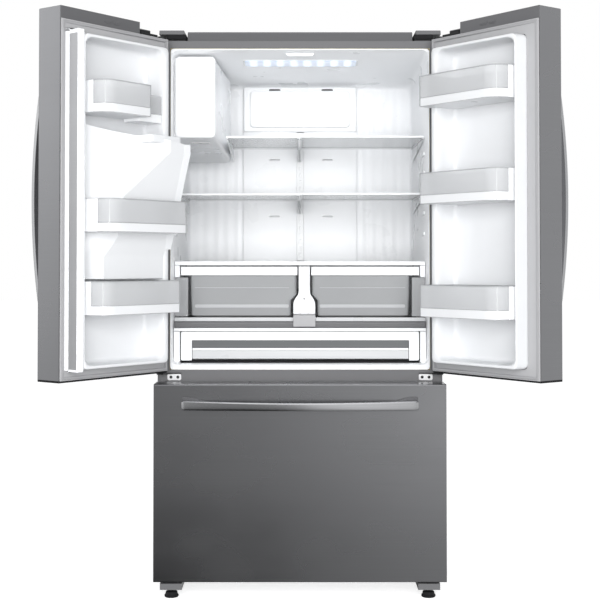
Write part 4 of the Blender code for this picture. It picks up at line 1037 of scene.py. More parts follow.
def build_mullion(place):
    """Folding bar on the left door: capped white body, metal face plate, and its hinge rail."""
    low, high = door_box("mullion_bar", place)
    body = softened([(low.x, low.y, 0.002), (high.x - 0.0012, low.y, 0.001),
                     (high.x - 0.0012, high.y, 0.004), (low.x, high.y, 0.004)])
    bar = prism(body, "Z", low.z + 0.004, high.z - 0.010)
    caps = [slab(inset(body, 0.001), "Z", high.z - 0.0098, high.z, 0.003),
            slab(inset(body, 0.001), "Z", low.z + 0.0038, low.z, 0.002)]
    piece("mullion_body", joined([bar] + caps), "white", "mullion", nodes=["mullion_bar"], place=place,
          edge=0.0006)
    plate = block((high.x - 0.0010, high.x), (low.y + 0.003, high.y - 0.002),
                  (low.z + 0.008, high.z - 0.014))
    piece("mullion_plate", plate, "grey_metal", "mullion", place=place, edge=0.0003)
    near, far = MULLION_RAIL_S
    rail = softened([(near, 0.0005, 0), (far, 0.0005, 0), (far, 0.0120, 0.002), (near, 0.0130, 0.001)])
    piece("mullion_rail", prism(rail, "Z", low.z + 0.004, high.z - 0.006), "white_gloss", "left_door",
          place=place, edge=0.0004)


def build_doors():
    """Both doors and everything on them."""
    for side, word in SIDES:
        place = door_place(side, word)
        build_door_skin(side, word, place)
        build_door_liner(side, word, place)
        build_door_gasket(side, word, place)
        build_door_handle(word, place)
        for level in ("top", "middle", "bottom"):
            build_bin(side, word, level, place)
        if side < 0:
            build_chute(place)
            build_dispenser(place)
            build_paddle(place)
            build_mullion(place)


# ---------------------------------------------------------------- cabinet outside

def build_case():
    """Steel case, the foam inside it, and the sheet that closes the machinery."""
    keep_node("cabinet_shell", "paint", 0.0012)
    keep_node("cabinet_foam", "foam")
    low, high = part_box("machine_cover")
    cover = block((low.x, high.x), (low.y + GAP, low.y + 0.0012), (low.z, high.z))
    vents = []
    louvres = []
    for row in range(VENT_ROWS):
        for column in range(VENT_COLUMNS):
            left = low.x + VENT_MARGIN[0] + column * VENT_STEP[0]
            bottom = low.z + VENT_MARGIN[1] + row * VENT_STEP[1]
            vents.append(block((left, left + VENT_SIZE[0]), (low.y - 0.01, low.y + 0.02),
                               (bottom, bottom + VENT_SIZE[1])))
            louvre = softened([(low.y + 0.0013, bottom + 0.006, 0), (high.y, bottom + 0.002, 0.001),
                               (high.y, bottom + 0.0005, 0), (low.y + 0.0013, bottom + 0.0045, 0)], 2)
            louvres.append(prism(louvre, "X", left, left + VENT_SIZE[0]))
    piece("machine_cover_sheet", carved(cover, [joined(vents)]), "paint",
          nodes=["machine_cover"])
    piece("machine_cover_louvres", joined(louvres), "paint")
    screws = [dome((x, high.y - 0.0024, z), "Y", -1, 0.005, 0.0022)
              for x in (low.x + 0.012, 0.0, high.x - 0.012) for z in (low.z + 0.010, high.z - 0.010)]
    piece("machine_cover_screws", joined(screws), "hinge")


def build_foot(word):
    """Levelling foot: a grooved pad on a threaded stem."""
    low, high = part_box(f"front_foot_{word}")
    centre = ((low.x + high.x) / 2, (low.y + high.y) / 2)
    radius = (high.x - low.x) / 2
    profile = [(0, radius - 0.002), (0.002, radius), (0.007, radius), (0.009, radius - 0.0025),
               (0.0165, radius - 0.004), (0.018, radius - 0.007), (0.0185, 0.0085)]
    stem_low = 0.0185
    pitch = 0.0016
    for turn in range(int((high.z - stem_low) / pitch)):
        profile.append((stem_low + turn * pitch + pitch / 2, 0.0078))
        profile.append((stem_low + (turn + 1) * pitch, 0.0090))
    foot = turned(profile, "Z", centre, 40)
    count = 18
    grooves = []
    for step in range(count):
        angle = math.tau * step / count
        x = centre[0] + (radius + 0.0010) * math.cos(angle)
        y = centre[1] + (radius + 0.0010) * math.sin(angle)
        grooves.append(turned([(0.0005, 0.0022), (0.0095, 0.0022)], "Z", (x, y), 10))
    piece(f"foot_{word}", carved(foot, [joined(grooves)]), "black",
          nodes=[f"front_foot_{word}"], edge=0.0004)


def build_caster(word):
    """Rear caster: a tyre on a hub."""
    low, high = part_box(f"rear_caster_{word}")
    centre = ((low.y + high.y) / 2, (low.z + high.z) / 2)
    middle = (low.x + high.x) / 2
    radius = (high.z - low.z) / 2
    half = (high.x - low.x) / 2
    tyre_half = half - 0.0025
    tread_half = half - 0.005
    hub_half = half - 0.0024
    tyre = turned([(middle - tyre_half, radius * 0.66), (middle - tyre_half, radius - 0.002),
                   (middle - tread_half, radius), (middle + tread_half, radius),
                   (middle + tyre_half, radius - 0.002), (middle + tyre_half, radius * 0.66)],
                  "X", centre, 48)
    hub = turned([(middle - half, 0.006), (middle - hub_half, 0.006), (middle - hub_half, radius * 0.60),
                  (middle + hub_half, radius * 0.60), (middle + hub_half, 0.006), (middle + half, 0.006)],
                 "X", centre, 32)
    piece(f"caster_{word}", joined([tyre, hub]), "black", f"{word}_caster",
          [f"rear_caster_{word}"])


def build_feet():
    """Two levelling feet in front and two casters behind."""
    for word in ("left", "right"):
        build_foot(word)
        build_caster(word)


def build_top():
    """Trim along the top of the case, the hinge plates and the covers over them."""
    low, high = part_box("top_table")
    profile = softened([(low.y, low.z, 0.001), (high.y, low.z, 0.001), (high.y, high.z - 0.004, 0.002),
                        (high.y - 0.008, high.z, 0.003), (low.y + 0.010, high.z, 0.006),
                        (low.y, high.z - 0.009, 0.006)], 4)
    table = prism(profile, "X", low.x, high.x)
    piece("top_trim", table, "trim", nodes=["top_table"], edge=0.001)
    for side, word in SIDES:
        keep_node(f"top_hinge_{word}", "black_steel", 0.0006)
        build_hinge_cover(side, word)


def build_hinge_cover(side, word):
    """Cover over a top hinge: a black body, and a dark grey lid that reaches further out."""
    low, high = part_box(f"hinge_cover_{word}")
    split = low.z + (high.z - low.z) * 0.50
    inner, outer = sorted((abs(low.x), abs(high.x)))
    across = mirrored(side, inner, outer - 0.026)
    profile = softened([(low.y, low.z, 0.001), (high.y, low.z, 0.001), (high.y, split, 0.001),
                        (low.y, split, 0.001)], 3)
    piece(f"hinge_cover_body_{word}", prism(profile, "X", *across), "black",
          nodes=[f"hinge_cover_{word}"], edge=0.0015, segments=3)
    profile = softened([(low.y + 0.003, split + GAP, 0.001), (high.y - 0.002, split + GAP, 0.001),
                        (high.y - 0.012, high.z, 0.006), (low.y + 0.010, high.z, 0.004)], 3)
    across = mirrored(side, inner + 0.0080, outer - 0.0005)
    piece(f"hinge_cover_lid_{word}", prism(profile, "X", *across), "paint",
          edge=0.0015, segments=3)


def build_mid_hinges():
    """Hinges on the band between the compartments: black arm, bright plate, two screws, pin."""
    pin_x = HALF_WIDTH - PIN_S
    pin_y = INNER_FACE + PIN_P
    for side, word in SIDES:
        low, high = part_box(f"mid_hinge_{word}")
        nose = arc((pin_x, pin_y), 0.0112, 180, 360, 16)
        outline = [(side * x, y) for x, y in nose + [(0.4530, FLANGE - GAP), (0.3785, FLANGE - GAP),
                                                     (0.3785, FLANGE - 0.006), (0.4050, FLANGE - 0.012)]]
        arm_top = ARM_Z[1]
        arm = prism(outline, "Z", *ARM_Z)
        pin = turned([(arm_top - 0.001, 0.0058), (high.z - 0.001, 0.0058), (high.z, 0.0048)], "Z",
                     (side * pin_x, pin_y), 24)
        piece(f"mid_hinge_arm_{word}", joined([arm, pin]), "black_steel",
              nodes=[f"mid_hinge_{word}"], edge=0.0005)
        plate = slab(rounded(*mirrored(side, *HINGE_PLATE_X), low.z + 0.0005, HINGE_PLATE_TOP, 0.006),
                     "Y", FLANGE - GAP, FLANGE - 0.0040, 0.0008)
        piece(f"mid_hinge_plate_{word}", plate, "zinc")
        screws = [dome((side * x, FLANGE - 0.0041, HINGE_SCREWS_Z), "Y", -1, 0.0048, 0.0022)
                  for x in HINGE_SCREWS_X]
        piece(f"mid_hinge_screws_{word}", joined(screws), "black_steel")
        washer = hoop(arc((side * pin_x, pin_y), 0.0110, 0, 345, 23), "Z", arm_top + GAP,
                      arm_top + 0.0022, 0.0044)
        piece(f"mid_hinge_washer_{word}", washer, "black")


# ---------------------------------------------------------------- fridge compartment

def ceiling_at(depth):
    """Height of the fridge ceiling at a depth behind the flange."""
    return CEILING_FRONT + (CEILING_BACK - CEILING_FRONT) * depth / FRIDGE_DEPTH


def liner_ring(depth, shrink, corner, floor=FRIDGE_FLOOR):
    """Ring round the inside of the fridge liner, drawn in from its walls."""
    outline = rounded(-FRIDGE_HALF + shrink, FRIDGE_HALF - shrink, floor + shrink,
                      ceiling_at(depth) - shrink, corner, 7)
    return ring(outline, "Y", FLANGE + depth)


def build_fridge_liner():
    """Moulded inner box with round corners, coved at the back."""
    rings = [liner_ring(FRIDGE_DEPTH + 0.0025, -0.0025, 0.010),
             liner_ring(0.0038, -0.0025, 0.010, FRIDGE_SILL + 0.0025)]
    rings.append(liner_ring(0.0036, -0.0010, 0.012, FRIDGE_SILL + 0.004))
    rings.append(liner_ring(0.0038, 0.0, CORNER))
    rings.append(liner_ring(0.0080, 0.0014, CORNER))
    for step in range(7):
        angle = math.radians(15 * step)
        rings.append(liner_ring(FRIDGE_DEPTH - COVE * (1 - math.sin(angle)),
                                0.0014 + COVE * (1 - math.cos(angle)) * 0.5, CORNER))
    piece("fridge_inner_box", loft(rings), "white", nodes=["fridge_liner"])
    guide = softened([(-0.040, 0.020, 0.006), (0.040, 0.020, 0.006), (0.047, -0.004, 0.003),
                      (-0.047, -0.004, 0.003)])
    tab = prism([(u, CEILING_FRONT - 0.0075 - v * 0.35) for u, v in guide], "Y", FLANGE + 0.040,
                FLANGE + 0.052)
    piece("mullion_guide", tab, "white", edge=0.0012)


def build_back_panels():
    """Fluted panels of the back wall on both sides of the air duct."""
    duct_low, duct_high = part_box("duct_cover")
    for side, word in SIDES:
        inner = duct_high.x + 0.001 if side > 0 else -duct_low.x + 0.001
        outer = FRIDGE_HALF - 0.022
        front = []
        columns = 72
        for column in range(columns + 1):
            share = column / columns
            x = inner + (outer - inner) * share
            wave = 0.0011 * math.cos(math.tau * 5 * share) * smoothstep(0.0, 0.12, share)
            wave *= 1 - smoothstep(0.88, 1.0, share)
            front.append((side * x, FLANGE + FRIDGE_DEPTH - 0.0042 + wave))
        outline = front + [(side * outer, FLANGE + FRIDGE_DEPTH - 0.0004),
                           (side * inner, FLANGE + FRIDGE_DEPTH - 0.0004)]
        panel = prism(outline, "Z", FRIDGE_FLOOR + 0.020, CEILING_BACK - 0.020)
        piece(f"back_panel_{word}", panel, "white")


def build_duct():
    """Air duct up the back wall: two swelling halves, and what build_duct_head adds."""
    low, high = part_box("duct_cover")
    back = high.y - GAP
    front = low.y + 0.0085
    cutters = [outlet(middle, height - 0.0028, height + 0.0028, 0.0026, front, back)
               for height in OUTLETS_Z for middle in OUTLETS_X]
    halves = ((low.x, DUCT_CENTRE - TRACK_HALF, "left"), (DUCT_CENTRE + TRACK_HALF, high.x, "right"))
    for x_low, x_high, word in halves:
        outline = [(x_low, back)]
        for column in range(15):
            share = column / 14
            swell = 0.0055 * math.sin(math.pi * share) ** 0.8
            outline.append((x_low + (x_high - x_low) * share, front - swell + 0.001))
        outline.append((x_high, back))
        body = prism(outline, "Z", low.z + 0.0005, DUCT_HEAD)
        piece(f"duct_half_{word}", carved(body, [joined(cutters)]), "white",
              nodes=["duct_cover"] if word == "left" else (), edge=0.0008)
    build_duct_head(low, high, front, back)
    build_shelf_track(front)


def outlet(middle, low, high, corner, front, back):
    """Cutter for an air outlet in the duct."""
    return prism(rounded(middle - 0.018, middle + 0.018, low, high, corner, 4), "Y", front - 0.03,
                 back - 0.012)


def build_duct_head(low, high, front, back):
    """Flat head of the duct with its raised plate, and the dark behind every outlet."""
    head = slab(rounded(low.x + 0.001, high.x - 0.001, DUCT_HEAD + 0.001, high.z - 0.001, 0.006), "Y",
                back, front - 0.001, 0.003)
    recess = prism(rounded(*FAN_PLATE_ROOM, 0.018, 6), "Y", front - 0.004, front + 0.002)
    vents = [outlet(middle, 1.6600, 1.6690, 0.0030, front, back) for middle in OUTLETS_X]
    piece("duct_head", carved(head, [recess] + vents), "white", edge=0.0008)
    plate = slab(rounded(*FAN_PLATE, 0.018, 6), "Y", front + 0.0015, low.y, 0.005)
    piece("fan_plate", plate, "white")
    dark = [block((middle - 0.024, middle + 0.024), (back - 0.0115, back - 0.0105),
                  (height - 0.004, height + 0.004)) for middle in OUTLETS_X for height in OUTLETS_Z]
    dark += [block((middle - 0.0205, middle + 0.0205), (front + 0.0005, front + 0.0012), (1.6580, 1.6710))
             for middle in OUTLETS_X]
    piece("duct_outlets", joined(dark), "trim")


def build_shelf_track(front):
    """Slotted track between the duct's halves, which the shelves hook into."""
    half = TRACK_HALF - 0.0005
    track = prism(rounded(DUCT_CENTRE - half, DUCT_CENTRE + half, 1.046, DUCT_HEAD - 0.002, 0.002), "Y",
                  front + 0.002, front + 0.010)
    slots = [block((DUCT_CENTRE - 0.0035, DUCT_CENTRE + 0.0035), (front - 0.01, front + 0.0085),
                   (1.060 + row * TRACK_STEP, 1.073 + row * TRACK_STEP)) for row in range(TRACK_SLOTS)]
    piece("shelf_track", carved(track, [joined(slots)]), "white_gloss", edge=0.0004)


def build_lamp():
    """Ceiling lamp: a long lens in a frame, over a row of diodes."""
    depth_low, depth_high = LAMP_DEPTH
    middle = (depth_low + depth_high) / 2
    slope = math.atan2(CEILING_BACK - CEILING_FRONT, FRIDGE_DEPTH)
    place = (Matrix.Translation((0.002, FLANGE + middle, ceiling_at(middle) - 0.0008))
             @ Matrix.Rotation(slope, 4, "X"))
    reach = (depth_high - depth_low) / 2
    lens = slab(rounded(-LAMP_HALF, LAMP_HALF, -reach, reach, 0.012, 6), "Z", 0.0, -0.004, 0.003)
    piece("ceiling_lamp_lens", lens, "lamp", place=place)
    rim = hoop(rounded(-LAMP_HALF - 0.006, LAMP_HALF + 0.006, -reach - 0.006, reach + 0.006, 0.016, 6),
               "Z", 0.0, -0.0022, 0.0055)
    piece("ceiling_lamp_frame", rim, "white_gloss", place=place, edge=0.0006)


def build_ice_maker():
    """Ice maker: a case that widens to the back, and the bucket whose round front closes it."""
    low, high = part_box("ice_maker_case")
    rings = []
    for depth, right, bottom, top, cut in ((low.y, -0.276, 1.4440, 1.7060, 0.016),
                                           (low.y + 0.050, -0.2717, 1.4363, 1.7034, 0.018),
                                           (high.y, high.x, low.z, 1.6880, 0.020)):
        outline = softened([(low.x, bottom, 0.004), (right, bottom, cut), (right, top, cut),
                            (low.x, top, 0.004)], 5)
        rings.append(ring(outline, "Y", depth))
    case = loft(rings)
    mouth = prism(rounded(*ICE_MAKER_MOUTH, 0.012, 5), "Y", low.y - 0.01, low.y + 0.320)
    piece("ice_maker_shell", carved(case, [mouth]), "white", nodes=["ice_maker_case"], edge=0.0010)
    case_front = low.y
    low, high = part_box("ice_bucket")
    front = slab(rounded(low.x, high.x, low.z, high.z, 0.018, 8), "Y", low.y + 0.014, low.y, 0.006)
    tub = tray(rounded(-0.3920, -0.2850, low.y + 0.0145, high.y, 0.010, 5), "Z", 1.4520, 1.6000, 0.003)
    piece("ice_bucket_front", front, "white_gloss", "ice_bucket", nodes=["ice_bucket"])
    piece("ice_bucket_tub", tub, "clear", "ice_bucket", edge=0.0008)
    latch = slab(rounded(-0.352, -0.298, 1.4285, 1.4325, 0.0018, 4), "Y", case_front + 0.030,
                 case_front + 0.020, 0.0008)
    piece("ice_maker_latch", latch, "border")


def build_shelves():
    """Glass shelves: each has a pane, a rolled front trim, side trims and its cantilever brackets."""
    for node in SHELVES:
        low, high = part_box(node)
        top = high.z
        under = top - 0.0045
        pane = block((low.x + 0.006, high.x - 0.006), (low.y + 0.011, high.y - 0.006), (under, top - GAP))
        piece(f"{node}_pane", pane, "glass", nodes=[node], edge=0.0005)
        nose = softened([(low.y, under - 0.0024, 0.0022), (low.y + 0.0105, under - 0.0024, 0.001),
                         (low.y + 0.0105, under - 0.0006, 0.0005), (low.y + 0.0108, top, 0.0005),
                         (low.y, top, 0.0022)], 5)
        trim = prism(nose, "X", low.x, high.x)
        sides = [block((x, x + 0.0055), (low.y + 0.0112, high.y - 0.001), (under - 0.0045, top))
                 for x in (low.x, high.x - 0.0055)]
        rear = block((low.x + 0.006, high.x - 0.006), (high.y - 0.0055, high.y), (under - 0.003, top))
        piece(f"{node}_trim", joined([trim, rear] + sides), "white_gloss", edge=0.0008)
        brackets = []
        for x in (low.x + 0.0012, high.x - 0.0037):
            profile = softened([(low.y + 0.040, under - 0.0050, 0), (high.y - 0.002, under - 0.0050, 0),
                                (high.y - 0.002, under - 0.050, 0.004),
                                (high.y - 0.020, under - 0.050, 0.010),
                                (low.y + 0.060, under - 0.014, 0.010)], 4)
            brackets.append(prism(profile, "X", x, x + 0.0025))
        piece(f"{node}_brackets", joined(brackets), "white", edge=0.0005)


def build_wall_supports():
    """Small ribs moulded into the side walls, which the shelves rest on."""
    for side, word in SIDES:
        ribs = []
        wall = FRIDGE_HALF - 0.0008
        low, high = mirrored(side, wall - 0.005, wall)
        for height in RIB_HEIGHTS:
            outline = softened([(FLANGE + 0.115, height, 0.003), (FLANGE + 0.185, height - 0.003, 0.003),
                                (FLANGE + 0.185, height + 0.009, 0.003),
                                (FLANGE + 0.115, height + 0.012, 0.003)])
            ribs.append(prism(outline, "X", low, high))
        piece(f"wall_supports_{word}", joined(ribs), "white", edge=0.0012)


def build_crispers():
    """Cover shelf, centre post and the two clear drawers with white grips."""
    low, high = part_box("crisper_cover")
    top = high.z
    nose = softened([(low.y, top - 0.0135, 0.003), (low.y + 0.022, top - 0.0135, 0.001),
                     (low.y + 0.022, top, 0.001), (low.y, top, 0.005)], 5)
    front = prism(nose, "X", low.x + 0.0005, high.x - 0.0005)
    rim = [block((x, x + 0.010), (low.y + 0.0225, high.y), (top - 0.0135, top))
           for x in (low.x + 0.0005, high.x - 0.0105)]
    rear = block((low.x + 0.011, high.x - 0.011), (high.y - 0.012, high.y), (top - 0.0135, top))
    piece("crisper_cover_frame", joined([front, rear] + rim), "white_gloss", nodes=["crisper_cover"],
          edge=0.0012)
    pane = block((low.x + 0.011, high.x - 0.011), (low.y + 0.0228, high.y - 0.0125),
                 (top - 0.006, top - 0.001))
    piece("crisper_cover_pane", pane, "glass", edge=0.0004)
    rails = []
    for side in (-1, 1):
        x_low, x_high = mirrored(side, high.x - 0.0172, high.x - 0.0008)
        profile = softened([(low.y + 0.004, low.z, 0.003), (high.y, low.z, 0), (high.y, top - 0.0142, 0),
                            (low.y + 0.004, top - 0.0142, 0.001)])
        rails.append(prism(profile, "X", x_low, x_high))
    piece("crisper_rails", joined(rails), "white", edge=0.0010)
    guides = [block(mirrored(side, 0.3660, 0.4085), (low.y + 0.012, high.y), (0.8620, low.z - GAP))
              for side in (-1, 1)]
    piece("crisper_guides", joined(guides), "clear", edge=0.0020, segments=3)
    build_centre_post()
    for side, word in SIDES:
        build_crisper_drawer(side, word)


def build_centre_post():
    """Post between the crispers: a slim neck that flares into a broad foot."""
    low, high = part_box("centre_post")
    middle = (low.x + high.x) / 2
    wide = (high.x - low.x) / 2
    slim = POST_NECK
    waist_low, waist_high = POST_WAIST
    outline = softened([(middle - wide, low.z + 0.017, 0.004), (middle + wide, low.z + 0.017, 0.004),
                        (middle + wide, waist_low, 0.012), (middle + slim, waist_high, 0.010),
                        (middle + slim, high.z - 0.0005, 0.001), (middle - slim, high.z - 0.0005, 0.001),
                        (middle - slim, waist_high, 0.010), (middle - wide, waist_low, 0.012)], 6)
    post = slab(outline, "Y", high.y, low.y + 0.0005, 0.003)
    piece("centre_post_body", post, "white_gloss", nodes=["centre_post"])
    foot = slab(rounded(middle - wide, middle + wide, low.z, low.z + 0.0165, 0.003), "Y",
                high.y, low.y + 0.001, 0.002)
    apron_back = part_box("pantry_deck")[0].y - GAP
    apron = slab(rounded(middle - wide, middle + wide, 0.8310, low.z + 0.0150, 0.003), "Y",
                 apron_back, apron_back - 0.0085, 0.002)
    bridge = block((middle - wide + 0.001, middle + wide - 0.001), (apron_back - 0.004, low.y + 0.004),
                   (low.z + 0.0004, low.z + 0.0140))
    piece("centre_post_foot", joined([foot, apron, bridge]), "border")
    screw = dome((middle, low.y + 0.0005, 0.9205), "Y", -1, 0.0036, 0.0006)
    piece("centre_post_screw", screw, "border")
    thumb = hoop(arc((middle, 0.889), 0.022, 0, 352, 44), "Y", low.y + 0.0006, low.y - 0.0004, 0.0016)
    piece("centre_post_dial", thumb, "sill", edge=0.0003)


def build_crisper_drawer(side, word):
    """Clear drawer that steps in beside the post's foot, ribbed across its front, with a white grip."""
    node = f"crisper_{word}"
    low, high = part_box(node)
    front = low.y + 0.0130
    back = high.y
    post_middle = sum(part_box("centre_post")[end].x for end in (0, 1)) / 2
    outer = (high.x if side > 0 else low.x) - side * 0.029
    rings = []
    inner_rings = []
    for z, inner_x, draw in CRISPER_LEVELS:
        inner = post_middle + side * inner_x
        edge = outer - side * draw
        x_low, x_high = sorted((inner, edge))
        plan = rounded(x_low, x_high, front + draw * 0.6, back - draw, 0.014, 5)
        rings.append(ring(plan, "Z", z))
        inner_rings.append(ring(inset(plan, 0.0026), "Z", max(z, 0.8650)))
    body = loft(rings + inner_rings[:0:-1])
    piece(f"{node}_tub", body, "smoke", f"{word}_crisper", [node])
    x_low, x_high = sorted((outer - side * 0.016, post_middle + side * 0.050))
    ridges = [slab(rounded(x_low, x_high, z - half, z + half, half * 0.9, 3), "Y", front - 0.0002,
                   front - 0.0022, 0.0008)
              for z, half in CRISPER_RIDGES]
    piece(f"{node}_ridges", joined(ridges), "clear", f"{word}_crisper")
    strip_low, strip_high = sorted((side * 0.3888, post_middle + side * 0.0228))
    bottom, top = CRISPER_GRIP_Z
    grip = softened([(low.y, bottom, 0.003), (low.y + 0.0122, bottom, 0.001), (low.y + 0.0122, top, 0.001),
                     (low.y + 0.001, top, 0.003)], 5)
    piece(f"{node}_grip", prism(grip, "X", strip_low, strip_high), "white_gloss", f"{word}_crisper",
          edge=0.0008)
    inner = post_middle + side * 0.0248
    rims = [block(sorted(limits), (low.y + 0.0128, back - 0.004), (1.0194, 1.0216))
            for limits in ((outer, outer - side * 0.004), (inner, inner + side * 0.004))]
    piece(f"{node}_rims", joined(rims), "clear_rim", f"{word}_crisper", edge=0.0004)


def build_pantry():
    """Deck over the pantry with its lip and caps, the cheeks beside it, and the drawer."""
    low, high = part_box("pantry_deck")
    deck = softened([(low.y + 0.004, low.z, 0.001), (high.y, low.z, 0), (high.y, high.z - 0.004, 0),
                     (low.y + 0.008, high.z - 0.004, 0.002), (low.y + 0.002, high.z - 0.010, 0.002)], 3)
    piece("pantry_deck_glass", prism(deck, "X", low.x + 0.001, high.x - 0.001), "deck",
          nodes=["pantry_deck"])
    lip = block((low.x + 0.001, high.x - 0.001), (low.y + 0.010, low.y + 0.030),
                (high.z - 0.0038, high.z + 0.0080))
    piece("pantry_deck_lip", lip, "sill", edge=0.0010)
    rail = softened([(low.y - 0.008, low.z - 0.0105, 0.002), (low.y + 0.012, low.z - 0.0105, 0.001),
                     (low.y + 0.012, low.z - 0.0005, 0.001), (low.y - 0.008, low.z - 0.0005, 0.002)], 3)
    rail_mesh = prism(rail, "X", low.x + 0.001, high.x - 0.001)
    piece("pantry_rails", rail_mesh, "white_gloss", edge=0.0008)
    cheeks = [block(mirrored(side, 0.3885, 0.4085), (low.y - 0.006, high.y), (0.7150, 0.8155))
              for side in (-1, 1)]
    piece("pantry_cheeks", joined(cheeks), "white", edge=0.0020, segments=3)
    caps = [block(mirrored(side, 0.3580, 0.4070), (low.y + 0.031, low.y + 0.105),
                  (high.z - 0.0038, high.z - 0.0018)) for side in (-1, 1)]
    piece("pantry_deck_caps", joined(caps), "border", edge=0.0006)
    low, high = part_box("pantry_drawer")
    # Black strips under the drawer's front and in the gaps beside it: painted shadow, not parts
    shadow = block((low.x, high.x), (low.y + 0.014, low.y + 0.030), (FRIDGE_FLOOR + 0.0008, low.z - 0.0006))
    gap_shadows = [block(mirrored(side, 0.3854, 0.3884), (low.y + 0.008, low.y + 0.030), (low.z, high.z))
            for side in (-1, 1)]
    piece("pantry_painted_shadows", joined([shadow] + gap_shadows), "black")
    build_pantry_drawer(low, high)


def build_pantry_drawer(low, high):
    """Flat drawer: a white frame round a dark window, over a pale sill and ledge."""
    across = (low.x + 0.0360, high.x - 0.0330)
    foot = low.z + 0.0045
    head = high.z - 0.0280
    edge = hoop(rounded(*across, foot, head, 0.003), "Y", low.y + 0.0014, low.y + 0.0029, 0.0016)
    piece("pantry_window_edge", edge, "trim", "pantry")
    frame_front = slab(rounded(low.x, high.x, low.z, high.z, 0.006, 5), "Y", low.y + 0.0105, low.y, 0.002)
    opening = prism(rounded(low.x + 0.0355, high.x - 0.0325, low.z - 0.02, high.z - 0.0275, 0.003, 4),
                    "Y", low.y - 0.01, low.y + 0.02)
    piece("pantry_front", carved(frame_front, [opening]), "white_gloss", "pantry",
          nodes=["pantry_drawer"], edge=0.0008)
    pane = block(across, (low.y + 0.003, low.y + 0.006), (low.z + 0.0405, head))
    piece("pantry_window", pane, "window", "pantry", edge=0.0005)
    sill = slab(rounded(*across, foot, low.z + 0.0320, 0.002), "Y", low.y + 0.007, low.y + 0.0015, 0.0015)
    piece("pantry_window_sill", sill, "sill", "pantry")
    ledge = block(across, (low.y + 0.0018, low.y + 0.0070), (low.z + 0.0325, low.z + 0.0400))
    piece("pantry_window_ledge", ledge, "white_gloss", "pantry", edge=0.0008)
    outline = rounded(low.x + 0.0055, high.x - 0.0055, low.y + 0.0110, high.y, 0.008, 5)
    tub = tray(outline, "Z", low.z + 0.003, high.z - 0.006, 0.003)
    piece("pantry_tub", tub, "smoke", "pantry", edge=0.0008)
    mat = block((low.x + 0.012, high.x - 0.012), (low.y + 0.018, high.y - 0.010),
                (low.z + 0.0062, low.z + 0.0078))
    piece("pantry_mat", mat, "dark", "pantry", edge=0.0004)


# ---------------------------------------------------------------- freezer

def build_freezer():
    """Freezer drawer: steel front, inner plate, gasket, slide rails and its two baskets."""
    low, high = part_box("freezer_panel")
    outline = softened([(low.y + 0.091, high.z - 0.0005, 0.001), (low.y + 0.0005, high.z - 0.0005, 0.005),
                        (low.y + 0.0005, low.z, 0.004), (low.y + 0.091, low.z, 0.001)], 6)
    front = prism(outline, "X", low.x, high.x)
    piece("freezer_front_skin", front, "steel", "freezer_drawer", ["freezer_panel"],
          edge=0.0024, segments=3)
    low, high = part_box("freezer_door_liner")
    plate = block((low.x, high.x), (low.y, INNER_FACE - 0.0002), (low.z, high.z))
    plug = slab(rounded(*FREEZER_PLUG, 0.020, 6), "Y", INNER_FACE - 0.0001,
                FLANGE + 0.0115, 0.008)
    piece("freezer_inner_plate", joined([plate, plug]), "white", "freezer_drawer",
          nodes=["freezer_door_liner"], edge=0.001)
    arms = [block(mirrored(side, *SLIDE_ARM_X), (FLANGE + 0.0118, high.y), SLIDE_ARM_Z) for side in (-1, 1)]
    piece("freezer_slide_arms", joined(arms), "hinge", "freezer_drawer", edge=0.0008)
    outline = rounded(*FREEZER_GASKET, 0.008)
    rings = [ring(inset(outline, across), "Y", INNER_FACE + rise)
             for across, rise in FREEZER_GASKET_PROFILE]
    piece("freezer_gasket_bellows", loft(rings, looped=True), "rubber", "freezer_drawer",
          ["freezer_gasket"])
    build_freezer_rails()
    keep_node("freezer_liner", "white", 0.0008)
    build_freezer_trays()
    build_freezer_handle()


def build_freezer_rails():
    """Open channels on both walls, which the slide arms run in."""
    for side, word in SIDES:
        low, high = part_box(f"freezer_rail_{word}")
        wall = high.x if side > 0 else low.x
        open_side = low.x if side > 0 else high.x
        section = [(wall, low.z), (open_side, low.z), (open_side, low.z + 0.006),
                   (wall - side * 0.003, low.z + 0.006), (wall - side * 0.003, high.z - 0.006),
                   (open_side, high.z - 0.006), (open_side, high.z), (wall, high.z)]
        piece(f"freezer_rail_channel_{word}", prism(section, "Y", low.y, high.y), "hinge",
              nodes=[f"freezer_rail_{word}"], edge=0.0006)


def build_freezer_trays():
    """Basket that rides on the drawer, slotted all round, and the tray that slides above it."""
    low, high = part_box("freezer_basket")
    outline = rounded(low.x, high.x, low.y, high.y, 0.020, 6)
    basket = tray(outline, "Z", low.z, high.z, 0.003)
    cutters = []
    for row in range(BASKET_ROWS):
        bottom = low.z + 0.050 + row * BASKET_STEP[1]
        for column in range(BASKET_COLUMNS):
            left = low.x + 0.045 + column * BASKET_STEP[0]
            for wall in (low.y, high.y):
                cutters.append(block((left, left + 0.030), (wall - 0.01, wall + 0.01),
                                     (bottom, bottom + 0.045)))
    piece("freezer_basket_tub", carved(basket, [joined(cutters)]), "white", "freezer_drawer",
          ["freezer_basket"], edge=0.0006)
    low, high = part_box("freezer_upper_drawer")
    outline = rounded(low.x, high.x, low.y, high.y, 0.016, 6)
    upper = tray(outline, "Z", low.z, high.z, 0.003)
    piece("freezer_upper_tub", upper, "clear", "upper_drawer", ["freezer_upper_drawer"],
          edge=0.0008)
    grip = slab(rounded(low.x + 0.030, high.x - 0.030, high.z - 0.038, high.z - 0.006, 0.006), "Y",
                low.y - GAP, low.y - 0.0075, 0.003)
    piece("freezer_upper_grip", grip, "white_gloss", "upper_drawer")


# ---------------------------------------------------------------- machinery

